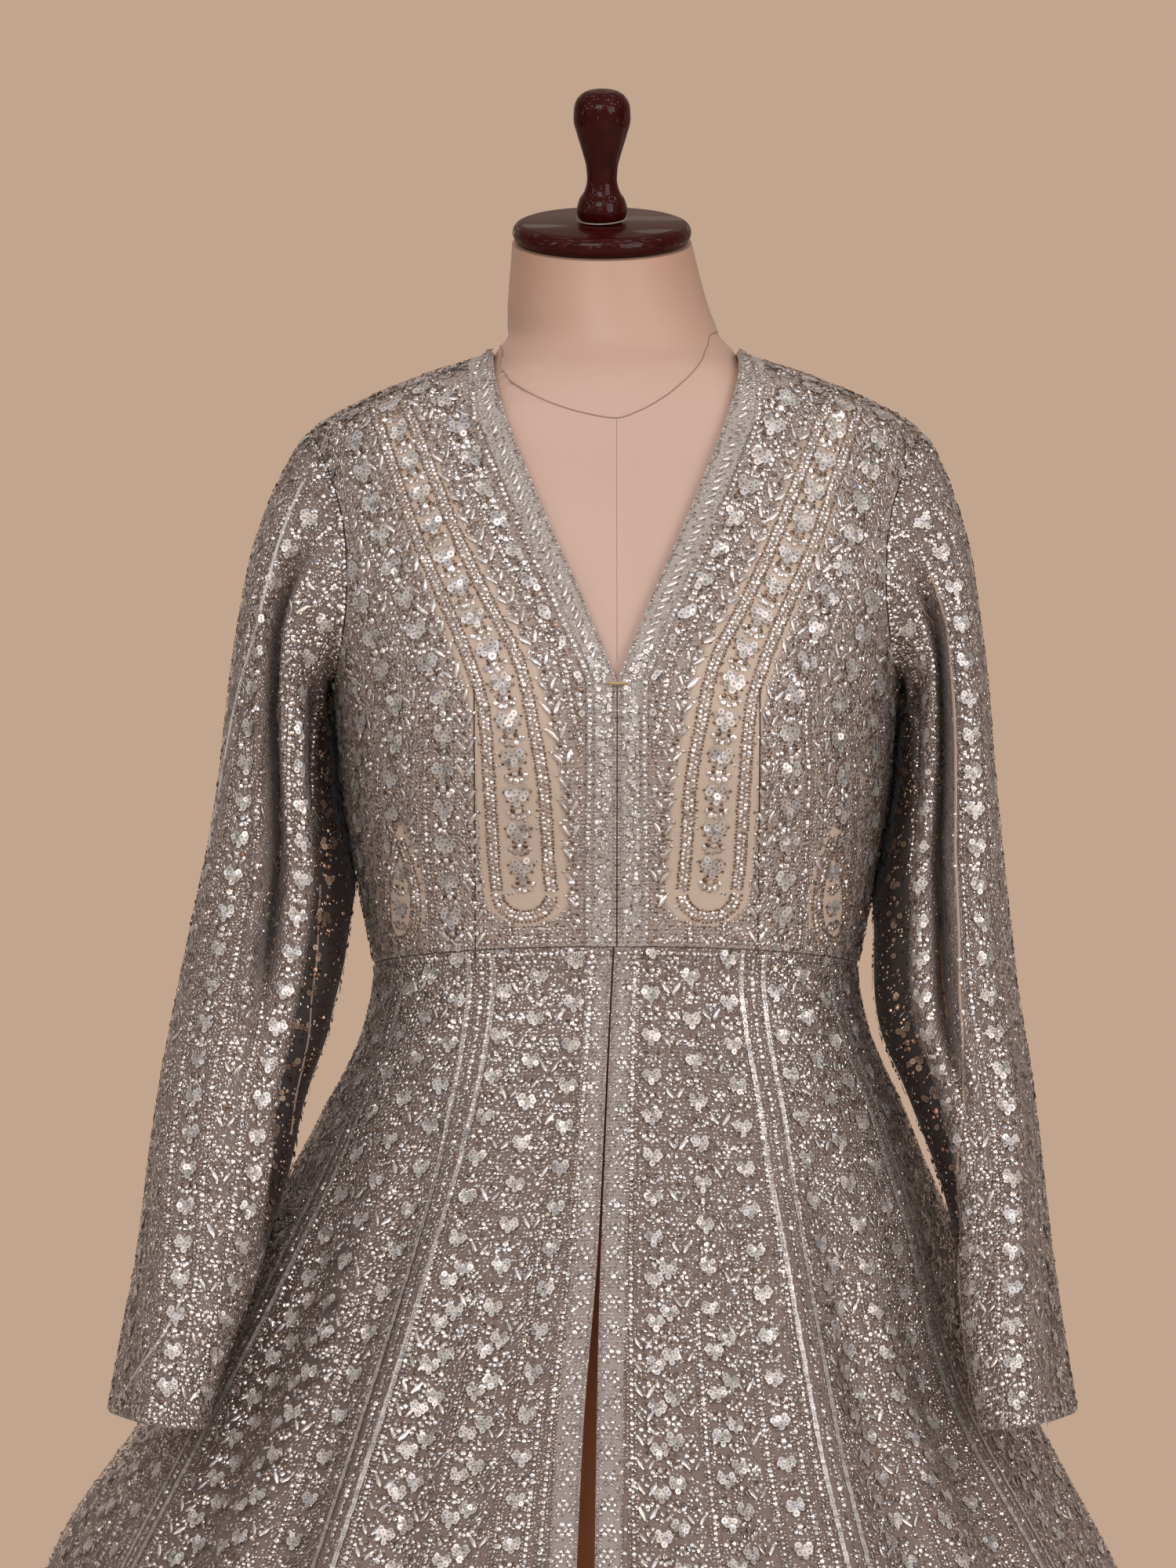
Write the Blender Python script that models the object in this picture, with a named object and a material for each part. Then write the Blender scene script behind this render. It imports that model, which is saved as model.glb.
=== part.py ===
"""A flared, open-front jacket dress on its limbless dress form and stand.

Metres, +Z up, front towards -Y, +X to the right of someone who looks at the front.
The origin is the centre of the underside of the stand's base.

The cloth is one surface, body(turn, z): a ring round the figure at each height. Bodice, border and
skirt panels are stretches of it, and their walls lie inside it. The sleeves are tubes that start on
the same armhole line. The dress form is the same surface again, moved in by the cloth and some ease.
"""

import bmesh
import bpy
import numpy as np

WALL = 0.0016          # embroidered cloth with its lining
SEAM = 0.0003          # between pieces that are sewn together
WAIST_GAP = 0.0005     # between bodice and skirt
BORDER_WALL = 0.0010   # thick embroidered border on the neck and centre front
BORDER_WIDTH = 0.012
BORDER_LIFT = 0.0003   # border over the cloth
SEAM_TURN = 0.0025     # half a seam, as an angle on the ring

# Heights of the cut
HEM = 0.030
WAIST_SIDE = 1.0945
WAIST_RISE = 0.018     # the waist seam stands this much higher at the centre front
NECK_V = 1.2593        # lowest point of the V
UNDERARM = 1.2555
SHOULDER = 1.4035      # where shoulder seam and armhole meet
NECK_POINT = 1.4500    # where shoulder seam and neckline meet
BACK_NECK = 1.4330     # lowest point of the back neckline
NECK_HALF = 0.070      # half the neck opening at the shoulder seams
SHOULDER_CROWN = 0.0035   # how far the shoulder seam bows up
SKIRT_PANELS = 12

# Rows of points up the bodice, below and beside the armhole, and how they crowd
LOWER_ROWS = 5
UPPER_ROWS = 9
NECK_ROW_POWER = 1.6      # towards the shoulder on the neckline
BACK_ROW_POWER = 1.25     # towards the neck on the middle of the back
SKIRT_ROW_POWER = 1.35    # towards the waist
SLEEVE_ROW_POWER = 1.15   # towards the armhole

# One row for each level ring: half width, depth to the front and back, squareness, centre in X
BODY_COLUMNS = ("z", "width", "front", "back", "square", "centre")
BODY = np.array([
    (0.0300, 0.6200, 0.6150, 0.6150, 0.00, -0.0120),
    (0.2000, 0.5500, 0.5450, 0.5450, 0.00, -0.0118),
    (0.3500, 0.4860, 0.4800, 0.4800, 0.00, -0.0112),
    (0.5000, 0.4200, 0.4120, 0.4120, 0.00, -0.0102),
    (0.6500, 0.3520, 0.3420, 0.3420, 0.00, -0.0090),
    (0.7525, 0.3020, 0.2900, 0.2900, 0.00, -0.0075),
    (0.8326, 0.2590, 0.2440, 0.2440, 0.00, -0.0045),
    (0.8916, 0.2290, 0.2110, 0.2110, 0.01, -0.0005),
    (0.9505, 0.1990, 0.1780, 0.1780, 0.03, 0.0035),
    (0.9901, 0.1780, 0.1530, 0.1520, 0.05, 0.0060),
    (1.0225, 0.1625, 0.1340, 0.1340, 0.08, 0.0076),
    (1.0405, 0.1530, 0.1240, 0.1230, 0.10, 0.0080),
    (1.0662, 0.1430, 0.1110, 0.1100, 0.12, 0.0080),
    (1.0954, 0.1380, 0.1040, 0.1020, 0.12, 0.0080),
    (1.1100, 0.1405, 0.1050, 0.1020, 0.12, 0.0080),
    (1.1409, 0.1467, 0.1100, 0.1030, 0.12, 0.0080),
    (1.2025, 0.1568, 0.1240, 0.1070, 0.12, 0.0080),
    (1.2400, 0.1605, 0.1280, 0.1110, 0.12, 0.0080),
    (1.2555, 0.1625, 0.1280, 0.1120, 0.12, 0.0080),
    (1.2800, 0.1680, 0.1240, 0.1140, 0.12, 0.0080),
    (1.3000, 0.1720, 0.1190, 0.1150, 0.12, 0.0080),
    (1.3300, 0.1755, 0.1090, 0.1140, 0.12, 0.0080),
    (1.3700, 0.1760, 0.0940, 0.1050, 0.12, 0.0080),
    (1.3900, 0.1750, 0.0850, 0.0960, 0.12, 0.0080),
    (1.4035, 0.1735, 0.0790, 0.0890, 0.12, 0.0080),
    (1.4185, 0.1509, 0.0730, 0.0820, 0.12, 0.0080),
    (1.4365, 0.1090, 0.0660, 0.0730, 0.10, 0.0080),
    (1.4500, 0.0700, 0.0580, 0.0640, 0.05, 0.0075),
    (1.4600, 0.0615, 0.0560, 0.0600, 0.00, 0.0065),
    (1.4800, 0.0570, 0.0540, 0.0560, 0.00, 0.0030),
    (1.5130, 0.0515, 0.0510, 0.0510, 0.00, 0.0000),
])

# Soft flutes of the skirt, from nothing at the waist
FLUTES = 24
FLUTE_HEM = 0.014
FLUTE_GROWTH = 1.6

# The bust of a general figure
BUST_OUT = 0.010
BUST_APART = 0.085     # from the centre line
BUST_HEIGHT = 1.235
BUST_SPREAD = 0.042

# Where the skirt gives way to each sleeve
REST_IN = 0.014
REST_TURN = np.radians(63.0)
REST_TURN_SPREAD = np.radians(16.0)
REST_HEIGHT = 0.875
REST_HEIGHT_SPREAD = 0.055

# Half width of the neck opening
NECK_COLUMNS = ("z", "half")
NECK = np.array([
    (1.2593, 0.0004),
    (1.2713, 0.0050),
    (1.3062, 0.0193),
    (1.3415, 0.0350),
    (1.3777, 0.0500),
    (1.4156, 0.0642),
    (1.4365, 0.0690),
    (1.4500, 0.0700),
])

# The front opening of the skirt: middle line and half gap
SLIT_COLUMNS = ("z", "middle", "half")
SLIT = np.array([
    (0.0300, -0.0260, 0.0150),
    (0.5000, -0.0170, 0.0085),
    (0.7525, -0.0104, 0.0053),
    (0.8600, -0.0070, 0.0036),
    (0.9550, -0.0015, 0.0008),
    (1.0400, 0.0030, 0.0005),
    (1.1200, 0.0068, 0.0005),
])

# One row for each ring of a sleeve: its outer and inner edge, each with its lean towards +X,
# then how far forward it hangs, its half depth from front to back, and its turn in degrees
SLEEVE_COLUMNS = ("along", "outer", "outer_lean", "outer_z", "inner", "inner_lean", "inner_z",
                  "forward", "depth", "yaw")
SLEEVE = np.array([
    (0.00, 0.1725, 0.0080, 1.4035, 0.1640, 0.0080, 1.2555, 0.000, 0.0600, 0.0),
    (0.04, 0.1850, 0.0075, 1.3890, 0.1650, 0.0080, 1.2475, 0.001, 0.0640, 0.0),
    (0.09, 0.1955, 0.0062, 1.3650, 0.1640, 0.0080, 1.2380, 0.002, 0.0655, 0.0),
    (0.15, 0.2040, 0.0052, 1.3330, 0.1622, 0.0080, 1.2260, 0.004, 0.0655, 0.0),
    (0.22, 0.2098, 0.0043, 1.2960, 0.1606, 0.0080, 1.2090, 0.006, 0.0650, 0.0),
    (0.29, 0.2145, 0.0037, 1.2570, 0.1580, 0.0080, 1.1880, 0.009, 0.0640, 0.0),
    (0.36, 0.2178, 0.0030, 1.2150, 0.1540, 0.0080, 1.1640, 0.013, 0.0630, 0.0),
    (0.43, 0.2225, 0.0018, 1.1720, 0.1500, 0.0068, 1.1380, 0.018, 0.0620, 0.0),
    (0.50, 0.2295, -0.0005, 1.1280, 0.1500, 0.0048, 1.1080, 0.025, 0.0610, 0.0),
    (0.58, 0.2365, -0.0025, 1.0830, 0.1545, 0.0015, 1.0680, 0.034, 0.0595, 1.0),
    (0.66, 0.2440, -0.0032, 1.0400, 0.1690, 0.0030, 1.0250, 0.046, 0.0580, 4.0),
    (0.75, 0.2500, -0.0040, 0.9900, 0.1820, 0.0065, 0.9770, 0.064, 0.0560, 9.0),
    (0.84, 0.2535, -0.0045, 0.9400, 0.1955, 0.0030, 0.9300, 0.086, 0.0530, 16.0),
    (0.92, 0.2575, -0.0055, 0.8960, 0.2075, -0.0030, 0.8880, 0.106, 0.0500, 22.0),
    (1.00, 0.2615, -0.0055, 0.8560, 0.2180, -0.0060, 0.8500, 0.126, 0.0465, 26.0),
])
ARMHOLE_SCOOP = 0.024   # how far the armhole is cut in, half way up
ARMHOLE_GAP = 0.0005
SLEEVE_BLEND = 0.16     # share of the sleeve that turns from armhole to tube
CAP_OUT = 0.06          # how steeply the sleeve's cap leaves the armhole sideways

# Long soft creases of a sleeve: angle round the tube, depth, start and end along it
CREASE_COLUMNS = ("angle", "depth", "start", "end")
CREASES = np.array([
    (58.0, 0.0042, 0.06, 0.62),
    (128.0, 0.0060, 0.02, 0.55),
    (318.0, 0.0038, 0.10, 0.80),
    (236.0, 0.0050, 0.04, 0.48),
])
CREASE_SPREAD = 13.0    # degrees
CREASE_FADE_IN = 0.10
CREASE_FADE_OUT = 0.14

# Thread bar of the hook, across the fronts
BAR_HALF = 0.0055
BAR_RADIUS = 0.0009
BAR_ARCH = 0.0016
BAR_DROP = 0.0015
BAR_LIFT = 0.00045        # over the borders, which bow a little between its ends

# Dress form and stand
EASE_COLUMNS = ("z", "ease")
EASE = np.array([
    (0.760, 0.0300),
    (1.000, 0.0150),
    (1.095, 0.0080),
    (1.200, 0.0035),
    (1.330, 0.0030),
    (1.400, 0.0032),
    (1.450, 0.0032),
])
BACK_EASE = 0.9         # more ease over the shoulder blades
BLADES = (1.33, 1.39)   # where that begins and is full
COLLAR = (1.449, 1.467) # where the form's neck leaves the cloth and the ease ends
FORM_COLUMNS = ("z", "width", "front", "back")
FORM_HIPS = np.array([
    (0.760, 0.1500, 0.0950, 0.1000),
    (0.800, 0.1580, 0.1000, 0.1080),
    (0.860, 0.1640, 0.1060, 0.1180),
    (0.920, 0.1635, 0.1080, 0.1230),
    (0.980, 0.1540, 0.1050, 0.1170),
    (1.040, 0.1380, 0.0990, 0.1050),
    (1.095, 0.1285, 0.0945, 0.0925),
])
NECK_TOP = 1.5130
FORM_LEVELS = (1.095, 1.130, 1.170, 1.205, 1.235, 1.262, 1.290, 1.320, 1.350, 1.375, 1.392,
               1.4035, 1.412, 1.422, 1.432, 1.441, 1.449, 1.456, 1.466, 1.482, 1.501, NECK_TOP)
TILT_START = 1.452      # from here up the neck's rings turn square to the cap
CAP_TILT = np.radians(17.0)
CAP_RADIUS = 0.0513
CAP_THICK = 0.0120
# Turned finial, from its foot: radius and height
FINIAL = (
    (0.0108, 0.0000), (0.0134, 0.0022), (0.0145, 0.0070), (0.0132, 0.0125), (0.0102, 0.0175),
    (0.0086, 0.0245), (0.0090, 0.0310), (0.0112, 0.0400), (0.0142, 0.0500), (0.0163, 0.0590),
    (0.0160, 0.0660), (0.0130, 0.0722), (0.0080, 0.0752), (0.0030, 0.0762),
)
POLE_RADIUS = 0.0125
FOOT_RADIUS = 0.0275    # sleeve at the pole's foot
FOOT_HEIGHT = 0.020
HEAD_RADIUS = 0.0225    # socket under the form
HEAD_HEIGHT = 0.022
BASE_RADIUS = 0.220
BASE_THICK = 0.018
BASE_BEVEL = 0.004


def smooth(points, values, at):
    """A monotone cubic through (points, values), read at any array of places."""
    step = np.diff(points)
    rise = np.diff(values) / step
    slope = np.concatenate([rise[:1], np.zeros(len(rise) - 1), rise[-1:]])
    same = rise[:-1] * rise[1:] > 0
    total = np.where(same, rise[:-1] + rise[1:], 1.0)
    slope[1:-1] = np.where(same, 2 * rise[:-1] * rise[1:] / total, 0.0)
    k = np.clip(np.searchsorted(points, at) - 1, 0, len(step) - 1)
    t = np.clip((at - points[k]) / step[k], 0.0, 1.0)
    low = values[k] * (1 + 2 * t) * (1 - t) ** 2 + slope[k] * step[k] * t * (1 - t) ** 2
    high = values[k + 1] * (3 - 2 * t) * t ** 2 - slope[k + 1] * step[k] * (1 - t) * t ** 2
    return low + high


def column(table, names, name, at):
    """One named column of a table, read at places along its first column."""
    return smooth(table[:, 0], table[:, names.index(name)], np.asarray(at, float))


def ramp(t):
    """Runs softly from 0 to 1 as t does."""
    t = np.clip(t, 0.0, 1.0)
    return t * t * (3 - 2 * t)


def hill(distance, spread):
    """A soft bump of height 1."""
    return np.exp(-0.5 * (distance / spread) ** 2)


def waist_height(turn):
    """Height of the waist seam, which rises at the centre front."""
    return WAIST_SIDE + WAIST_RISE * ((1 + np.cos(turn)) / 2) ** 2


def body(turn, z):
    """Outer face of the cloth: turn is 0 at the front and grows towards +X, z is the height."""
    turn, z = np.broadcast_arrays(np.asarray(turn, float), np.asarray(z, float))
    width, front, back, square, centre = (column(BODY, BODY_COLUMNS, name, z) for name in BODY_COLUMNS[1:])
    s, c = np.sin(turn), np.cos(turn)
    x = width * s * (1 + square * c * c)
    y = -np.where(c > 0, front, back) * c * (1 + square * s * s)
    bust = hill(np.abs(x) - BUST_APART, BUST_SPREAD) * hill(z - BUST_HEIGHT, BUST_SPREAD)
    y = y - BUST_OUT * np.clip(c, 0, 1) * bust
    grown = np.clip((WAIST_SIDE - z) / (WAIST_SIDE - HEM), 0, 1) ** FLUTE_GROWTH
    wave = np.cos(FLUTES * turn + 0.7 * np.sin(2 * turn)) * (0.85 + 0.3 * np.cos(5 * turn + 1.0))
    give = hill(np.abs(turn) - REST_TURN, REST_TURN_SPREAD) * hill(z - REST_HEIGHT, REST_HEIGHT_SPREAD)
    out = 1 + (FLUTE_HEM * grown * wave - REST_IN * give) / np.hypot(x, y)
    return np.stack([centre + x * out, y * out, z], axis=-1)


def outward(surface, u, v, step=1e-4):
    """Unit normals of a surface of two parameters, from its slopes along both."""
    along_u = surface(u + step, v) - surface(u - step, v)
    along_v = surface(u, v + step) - surface(u, v - step)
    normal = np.cross(along_u, along_v)
    return normal / np.linalg.norm(normal, axis=-1, keepdims=True)


def turn_at(share, square):
    """The turn where the ring has this share of its half width, by Newton's steps."""
    s = np.clip(share, 0.0, 1.0)
    for _ in range(6):
        s = s - (s * (1 + square * (1 - s * s)) - share) / (1 + square * (1 - 3 * s * s))
        s = np.clip(s, 0.0, 1.0)
    return np.arcsin(s)


def armhole(angle):
    """Turn and height of the armhole line: 0 at the shoulder, pi at the underarm."""
    z = (SHOULDER + UNDERARM) / 2 + (SHOULDER - UNDERARM) / 2 * np.cos(angle)
    width = column(BODY, BODY_COLUMNS, "width", z)
    square = column(BODY, BODY_COLUMNS, "square", z)
    share = 1 - ARMHOLE_SCOOP * np.sin(angle) ** 2 / width
    return turn_at(share, square), z


def material(name, colour, roughness, metallic=0.0):
    """A plain surface of one colour."""
    made = bpy.data.materials.get(name) or bpy.data.materials.new(name)
    made.use_nodes = True
    shader = made.node_tree.nodes["Principled BSDF"]
    shader.inputs["Base Color"].default_value = (*colour, 1.0)
    shader.inputs["Roughness"].default_value = roughness
    shader.inputs["Metallic"].default_value = metallic
    made.diffuse_color = (*colour, 1.0)
    return made


def solid(name, points, faces, finish):
    """One closed mesh object with its faces outward."""
    mesh = bpy.data.meshes.new(name)
    mesh.from_pydata([tuple(p) for p in points], [], faces)
    work = bmesh.new()
    work.from_mesh(mesh)
    bmesh.ops.recalc_face_normals(work, faces=work.faces)
    work.to_mesh(mesh)
    work.free()
    mesh.materials.append(finish)
    mesh.shade_smooth()
    mesh.set_sharp_from_angle(angle=np.radians(40))
    made = bpy.data.objects.new(name, mesh)
    bpy.context.scene.collection.objects.link(made)
    return made


def wall(name, outer, inner, finish, tube=False):
    """A wall between two grids of points, closed along its edges; a tube also closes round."""
    rows, cols = outer.shape[:2]
    spans = cols if tube else cols - 1
    count = rows * cols
    faces = []
    for i in range(rows - 1):
        for j in range(spans):
            k = (j + 1) % cols
            a, b, c, d = i * cols + j, i * cols + k, (i + 1) * cols + k, (i + 1) * cols + j
            faces.append((a, b, c, d))
            faces.append((a + count, d + count, c + count, b + count))
    for i in (0, rows - 1):
        for j in range(spans):
            a, b = i * cols + j, i * cols + (j + 1) % cols
            faces.append((b, a, a + count, b + count))
    if not tube:
        for i in range(rows - 1):
            for j in (0, cols - 1):
                a, b = i * cols + j, (i + 1) * cols + j
                faces.append((a, b, b + count, a + count))
    points = np.concatenate([outer.reshape(-1, 3), inner.reshape(-1, 3)])
    return solid(name, points, faces, finish)


def closed_rings(name, rings, finish):
    """A solid through rings of points, with a flat face at each end."""
    rows, cols = rings.shape[:2]
    faces = [tuple(range(cols)), tuple(range((rows - 1) * cols, rows * cols))]
    for i in range(rows - 1):
        for j in range(cols):
            k = (j + 1) % cols
            faces.append((i * cols + j, i * cols + k, (i + 1) * cols + k, (i + 1) * cols + j))
    return solid(name, rings.reshape(-1, 3), faces, finish)


def turned(name, profile, centre, tilt, finish, sides=32):
    """A turned solid: rows of radius and height on an axis that leans forward by tilt."""
    angle = np.arange(sides) * 2 * np.pi / sides
    radius, height = np.array(profile).T
    x = radius[:, None] * np.cos(angle)
    y = radius[:, None] * np.sin(angle)
    h = np.repeat(height[:, None], sides, axis=1)
    rings = np.stack([x, y * np.cos(tilt) - h * np.sin(tilt), y * np.sin(tilt) + h * np.cos(tilt)], -1)
    return closed_rings(name, rings + np.array(centre), finish)


def bodice_rows():
    """Rows of the bodice from waist to shoulder: height of the inner edge, turn and height of the outer."""
    low = np.linspace(0, 1, LOWER_ROWS + 1)[:-1]
    high = np.linspace(0, 1, UPPER_ROWS + 1)
    waist_in, waist_out = waist_height(0.0) + WAIST_GAP / 2, waist_height(np.pi / 2) + WAIST_GAP / 2
    inner = np.concatenate([waist_in + (NECK_V - waist_in) * low,
                            NECK_V + (NECK_POINT - NECK_V) * (1 - (1 - high) ** NECK_ROW_POWER)])
    arm_turn, arm_z = armhole(np.pi * (1 - high))
    outer_turn = np.concatenate([np.full(LOWER_ROWS, np.pi / 2), arm_turn])
    outer_z = np.concatenate([waist_out + (UNDERARM - waist_out) * low, arm_z])
    return inner, outer_turn - SEAM_TURN, outer_z


def front_grid(side, cols=9):
    """Turn and height over one bodice front; its first column is the border's width."""
    inner_z, outer_turn, outer_z = bodice_rows()
    width = column(BODY, BODY_COLUMNS, "width", inner_z)
    square = column(BODY, BODY_COLUMNS, "square", inner_z)
    half = np.where(inner_z > NECK_V, column(NECK, NECK_COLUMNS, "half", inner_z), NECK[0, 1])
    inner_turn = np.minimum(turn_at(half / width, square), np.pi / 2 - SEAM_TURN)
    span = np.linalg.norm(body(inner_turn, inner_z) - body(outer_turn, outer_z), axis=-1)
    first = (BORDER_WIDTH / span)[:, None]
    share = np.concatenate([np.zeros_like(first), first + (1 - first) * np.linspace(0, 1, cols)], axis=1)
    turn = inner_turn[:, None] * (1 - share) + outer_turn[:, None] * share
    z = inner_z[:, None] * (1 - share) + outer_z[:, None] * share
    crown = np.linspace(0, 1, len(inner_z))[:, None] ** 6
    z = z + SHOULDER_CROWN * crown * 4 * share * (1 - share)
    bottom = waist_height(turn) + WAIST_GAP / 2
    fade = np.clip(1 - (z - z[:1]) / (NECK_V - WAIST_SIDE), 0, 1)
    z = z + (bottom - z)[:1] * fade
    return side * turn, z


def build_bodice_front(side, name, cloth, border, border_finish):
    """One front and the border along its neck and centre-front edge."""
    turn, z = front_grid(side)
    outer, normal = body(turn, z), outward(body, turn, z)
    wall(name, outer, outer - WALL * normal, cloth)
    edge, out = outer[:, :2], normal[:, :2]
    wall(border, edge + (BORDER_LIFT + BORDER_WALL) * out, edge + BORDER_LIFT * out, border_finish)


def back_grid(cols=22, neck_cols=10):
    """Turn and height over the back, from one side seam to the other."""
    _, outer_turn, outer_z = bodice_rows()
    rows = len(outer_turn)
    share = np.linspace(-1, 1, cols + 1)
    size = np.abs(share)
    neck_share = neck_cols / cols
    in_neck = size <= neck_share + 1e-6
    q = np.linspace(0, 1, rows)
    waist_back = waist_height(np.pi) + WAIST_GAP / 2
    centre_z = waist_back + (BACK_NECK - waist_back) * (1 - (1 - q) ** BACK_ROW_POWER)
    out = np.sin(np.pi / 2 * np.clip(size / neck_share, 0, 1))
    neck_z = BACK_NECK + (NECK_POINT - BACK_NECK) * out ** 2.2
    width = column(BODY, BODY_COLUMNS, "width", neck_z)
    square = column(BODY, BODY_COLUMNS, "square", neck_z)
    neck_turn = turn_at(np.minimum(NECK_HALF * out / width, 1.0), square)
    seam_share = np.clip((size - neck_share) / (1 - neck_share), 0, 1)
    crown = SHOULDER_CROWN * 4 * seam_share * (1 - seam_share)
    seam_z = NECK_POINT + (SHOULDER - NECK_POINT) * seam_share + crown
    top_turn = np.where(in_neck, np.minimum(neck_turn, outer_turn[-1]), outer_turn[-1])
    top_z = np.where(in_neck, neck_z, seam_z)
    near_top = q[:, None] ** 5
    outer_turn = outer_turn[:, None]
    turn = outer_turn * (size * (1 - near_top) + top_turn / outer_turn[-1] * near_top)
    plain = centre_z[:, None] * (1 - size ** 2) + outer_z[:, None] * size ** 2
    z = plain + near_top * (top_z - plain[-1])
    gap = np.linalg.norm(body(np.pi - turn[-1], z[-1]) - body(np.pi - turn[-2], z[-2]), axis=-1)
    down = np.minimum(BORDER_WIDTH / gap, 0.8)
    row_turn = turn[-1] * (1 - down) + turn[-2] * down
    row_z = z[-1] * (1 - down) + z[-2] * down
    for end in (0, -1):
        arm_turn, row_z[end] = armhole(np.pi / UPPER_ROWS * down[end])
        row_turn[end] = arm_turn - SEAM_TURN
    turn = np.insert(turn, -1, row_turn, axis=0)
    z = np.insert(z, -1, row_z, axis=0)
    return np.pi - np.sign(share) * turn, z, in_neck


def build_bodice_back(name, cloth, border, border_finish):
    """The back, in one piece, and the border round the back of the neck."""
    turn, z, in_neck = back_grid()
    outer, normal = body(turn, z), outward(body, turn, z)
    wall(name, outer, outer - WALL * normal, cloth)
    edge, out = outer[-2:, in_neck], normal[-2:, in_neck]
    wall(border, edge + (BORDER_LIFT + BORDER_WALL) * out, edge + BORDER_LIFT * out, border_finish)


def build_skirt(cloth, rows=8, cols=12):
    """Flared panels from waist to hem; the first and last leave the front open."""
    down = (np.linspace(0, 1, rows + 1) ** SKIRT_ROW_POWER)[:, None]
    across = np.linspace(0, 1, cols + 1)[None, :]
    for k in range(SKIRT_PANELS):
        seams = 2 * np.pi * np.array([k, k + 1]) / SKIRT_PANELS
        turn = seams[0] * (1 - across) + seams[1] * across + 0 * down
        for _ in range(3):
            top = waist_height(turn) - WAIST_GAP / 2
            z = top + (HEM - top) * down
            width = column(BODY, BODY_COLUMNS, "width", z)
            narrow = (SEAM / 2) / width
            middle = column(SLIT, SLIT_COLUMNS, "middle", z) - column(BODY, BODY_COLUMNS, "centre", z)
            gap = column(SLIT, SLIT_COLUMNS, "half", z)
            first = (middle + gap) / width if k == 0 else seams[0] + narrow
            last = 2 * np.pi + (middle - gap) / width if k == SKIRT_PANELS - 1 else seams[1] - narrow
            turn = first * (1 - across) + last * across
        turn = np.where(turn > np.pi, turn - 2 * np.pi, turn)
        outer, normal = body(turn, z), outward(body, turn, z)
        wall(f"skirt_panel_{k + 1:02d}", outer, outer - WALL * normal, cloth)


def sleeve(side, angle, along):
    """Outer face of a sleeve: angle is 0 outside and 90 degrees in front, along runs to the cuff."""
    angle, along = np.broadcast_arrays(np.asarray(angle, float), np.asarray(along, float))
    row = {name: column(SLEEVE, SLEEVE_COLUMNS, name, along) for name in SLEEVE_COLUMNS[1:]}
    outer = np.stack([side * row["outer"] + row["outer_lean"], -row["forward"], row["outer_z"]], -1)
    inner = np.stack([side * row["inner"] + row["inner_lean"], -row["forward"], row["inner_z"]], -1)
    centre, across = (outer + inner) / 2, (outer - inner) / 2
    yaw = np.radians(row["yaw"])
    flat = across[..., 0]
    across = np.stack([flat * np.cos(yaw), -np.abs(flat) * np.sin(yaw), across[..., 2]], -1)
    forward = np.stack([-side * np.sin(yaw), -np.cos(yaw), np.zeros_like(yaw)], -1) * row["depth"][..., None]
    deep = np.zeros_like(along)
    for values in CREASES:
        crease = dict(zip(CREASE_COLUMNS, values))
        off = (np.degrees(angle) - crease["angle"] + 180) % 360 - 180
        begun = ramp((along - crease["start"]) / CREASE_FADE_IN)
        left = ramp((crease["end"] - along) / CREASE_FADE_OUT)
        deep = deep + crease["depth"] * hill(off, CREASE_SPREAD) * begun * left
    shrink = (1 - deep / np.linalg.norm(across, axis=-1))[..., None]
    tube = centre + shrink * (np.cos(angle)[..., None] * across + np.sin(angle)[..., None] * forward)
    seam_turn, seam_z = armhole(angle)
    seam = body(side * np.where(np.sin(angle) >= 0, seam_turn, np.pi - seam_turn), seam_z)
    seam[..., 0] += side * (ARMHOLE_GAP + along * CAP_OUT)
    mix = ramp(along / SLEEVE_BLEND)[..., None]
    return seam * (1 - mix) + tube * mix


def build_sleeve(side, name, cloth, rows=18, cols=20):
    """A set-in sleeve from the armhole to the cuff."""
    along = (np.linspace(0, 1, rows + 1) ** SLEEVE_ROW_POWER)[:, None]
    angle = (np.arange(cols) * 2 * np.pi / cols)[None, :]
    outer = sleeve(side, angle, along)
    step = 1e-3
    round_it = sleeve(side, angle + step, along) - sleeve(side, angle - step, along)
    lower, upper = np.clip(along + step, 0, 1), np.clip(along - step, 0, 1)
    down = sleeve(side, angle, lower) - sleeve(side, angle, upper)
    normal = side * np.cross(round_it, down)
    normal /= np.linalg.norm(normal, axis=-1, keepdims=True)
    wall(name, outer, outer - WALL * normal, cloth, tube=True)


def build_closure(name, finish):
    """The thread bar that holds the hook, across the two edges at the foot of the V."""
    z = NECK_V - BAR_DROP
    front = body(0.0, z)[1] - BORDER_LIFT - BORDER_WALL - BAR_LIFT - BAR_RADIUS
    across = np.linspace(-1, 1, 9)
    spine = np.stack([column(BODY, BODY_COLUMNS, "centre", z) + BAR_HALF * across,
                      front - BAR_ARCH * (1 - across ** 4), np.full_like(across, z)], -1)
    angle = np.arange(8) * 2 * np.pi / 8
    ring = BAR_RADIUS * np.stack([np.zeros(8), np.cos(angle), np.sin(angle)], -1)
    closed_rings(name, spine[:, None, :] + ring[None, :, :], finish)


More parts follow.
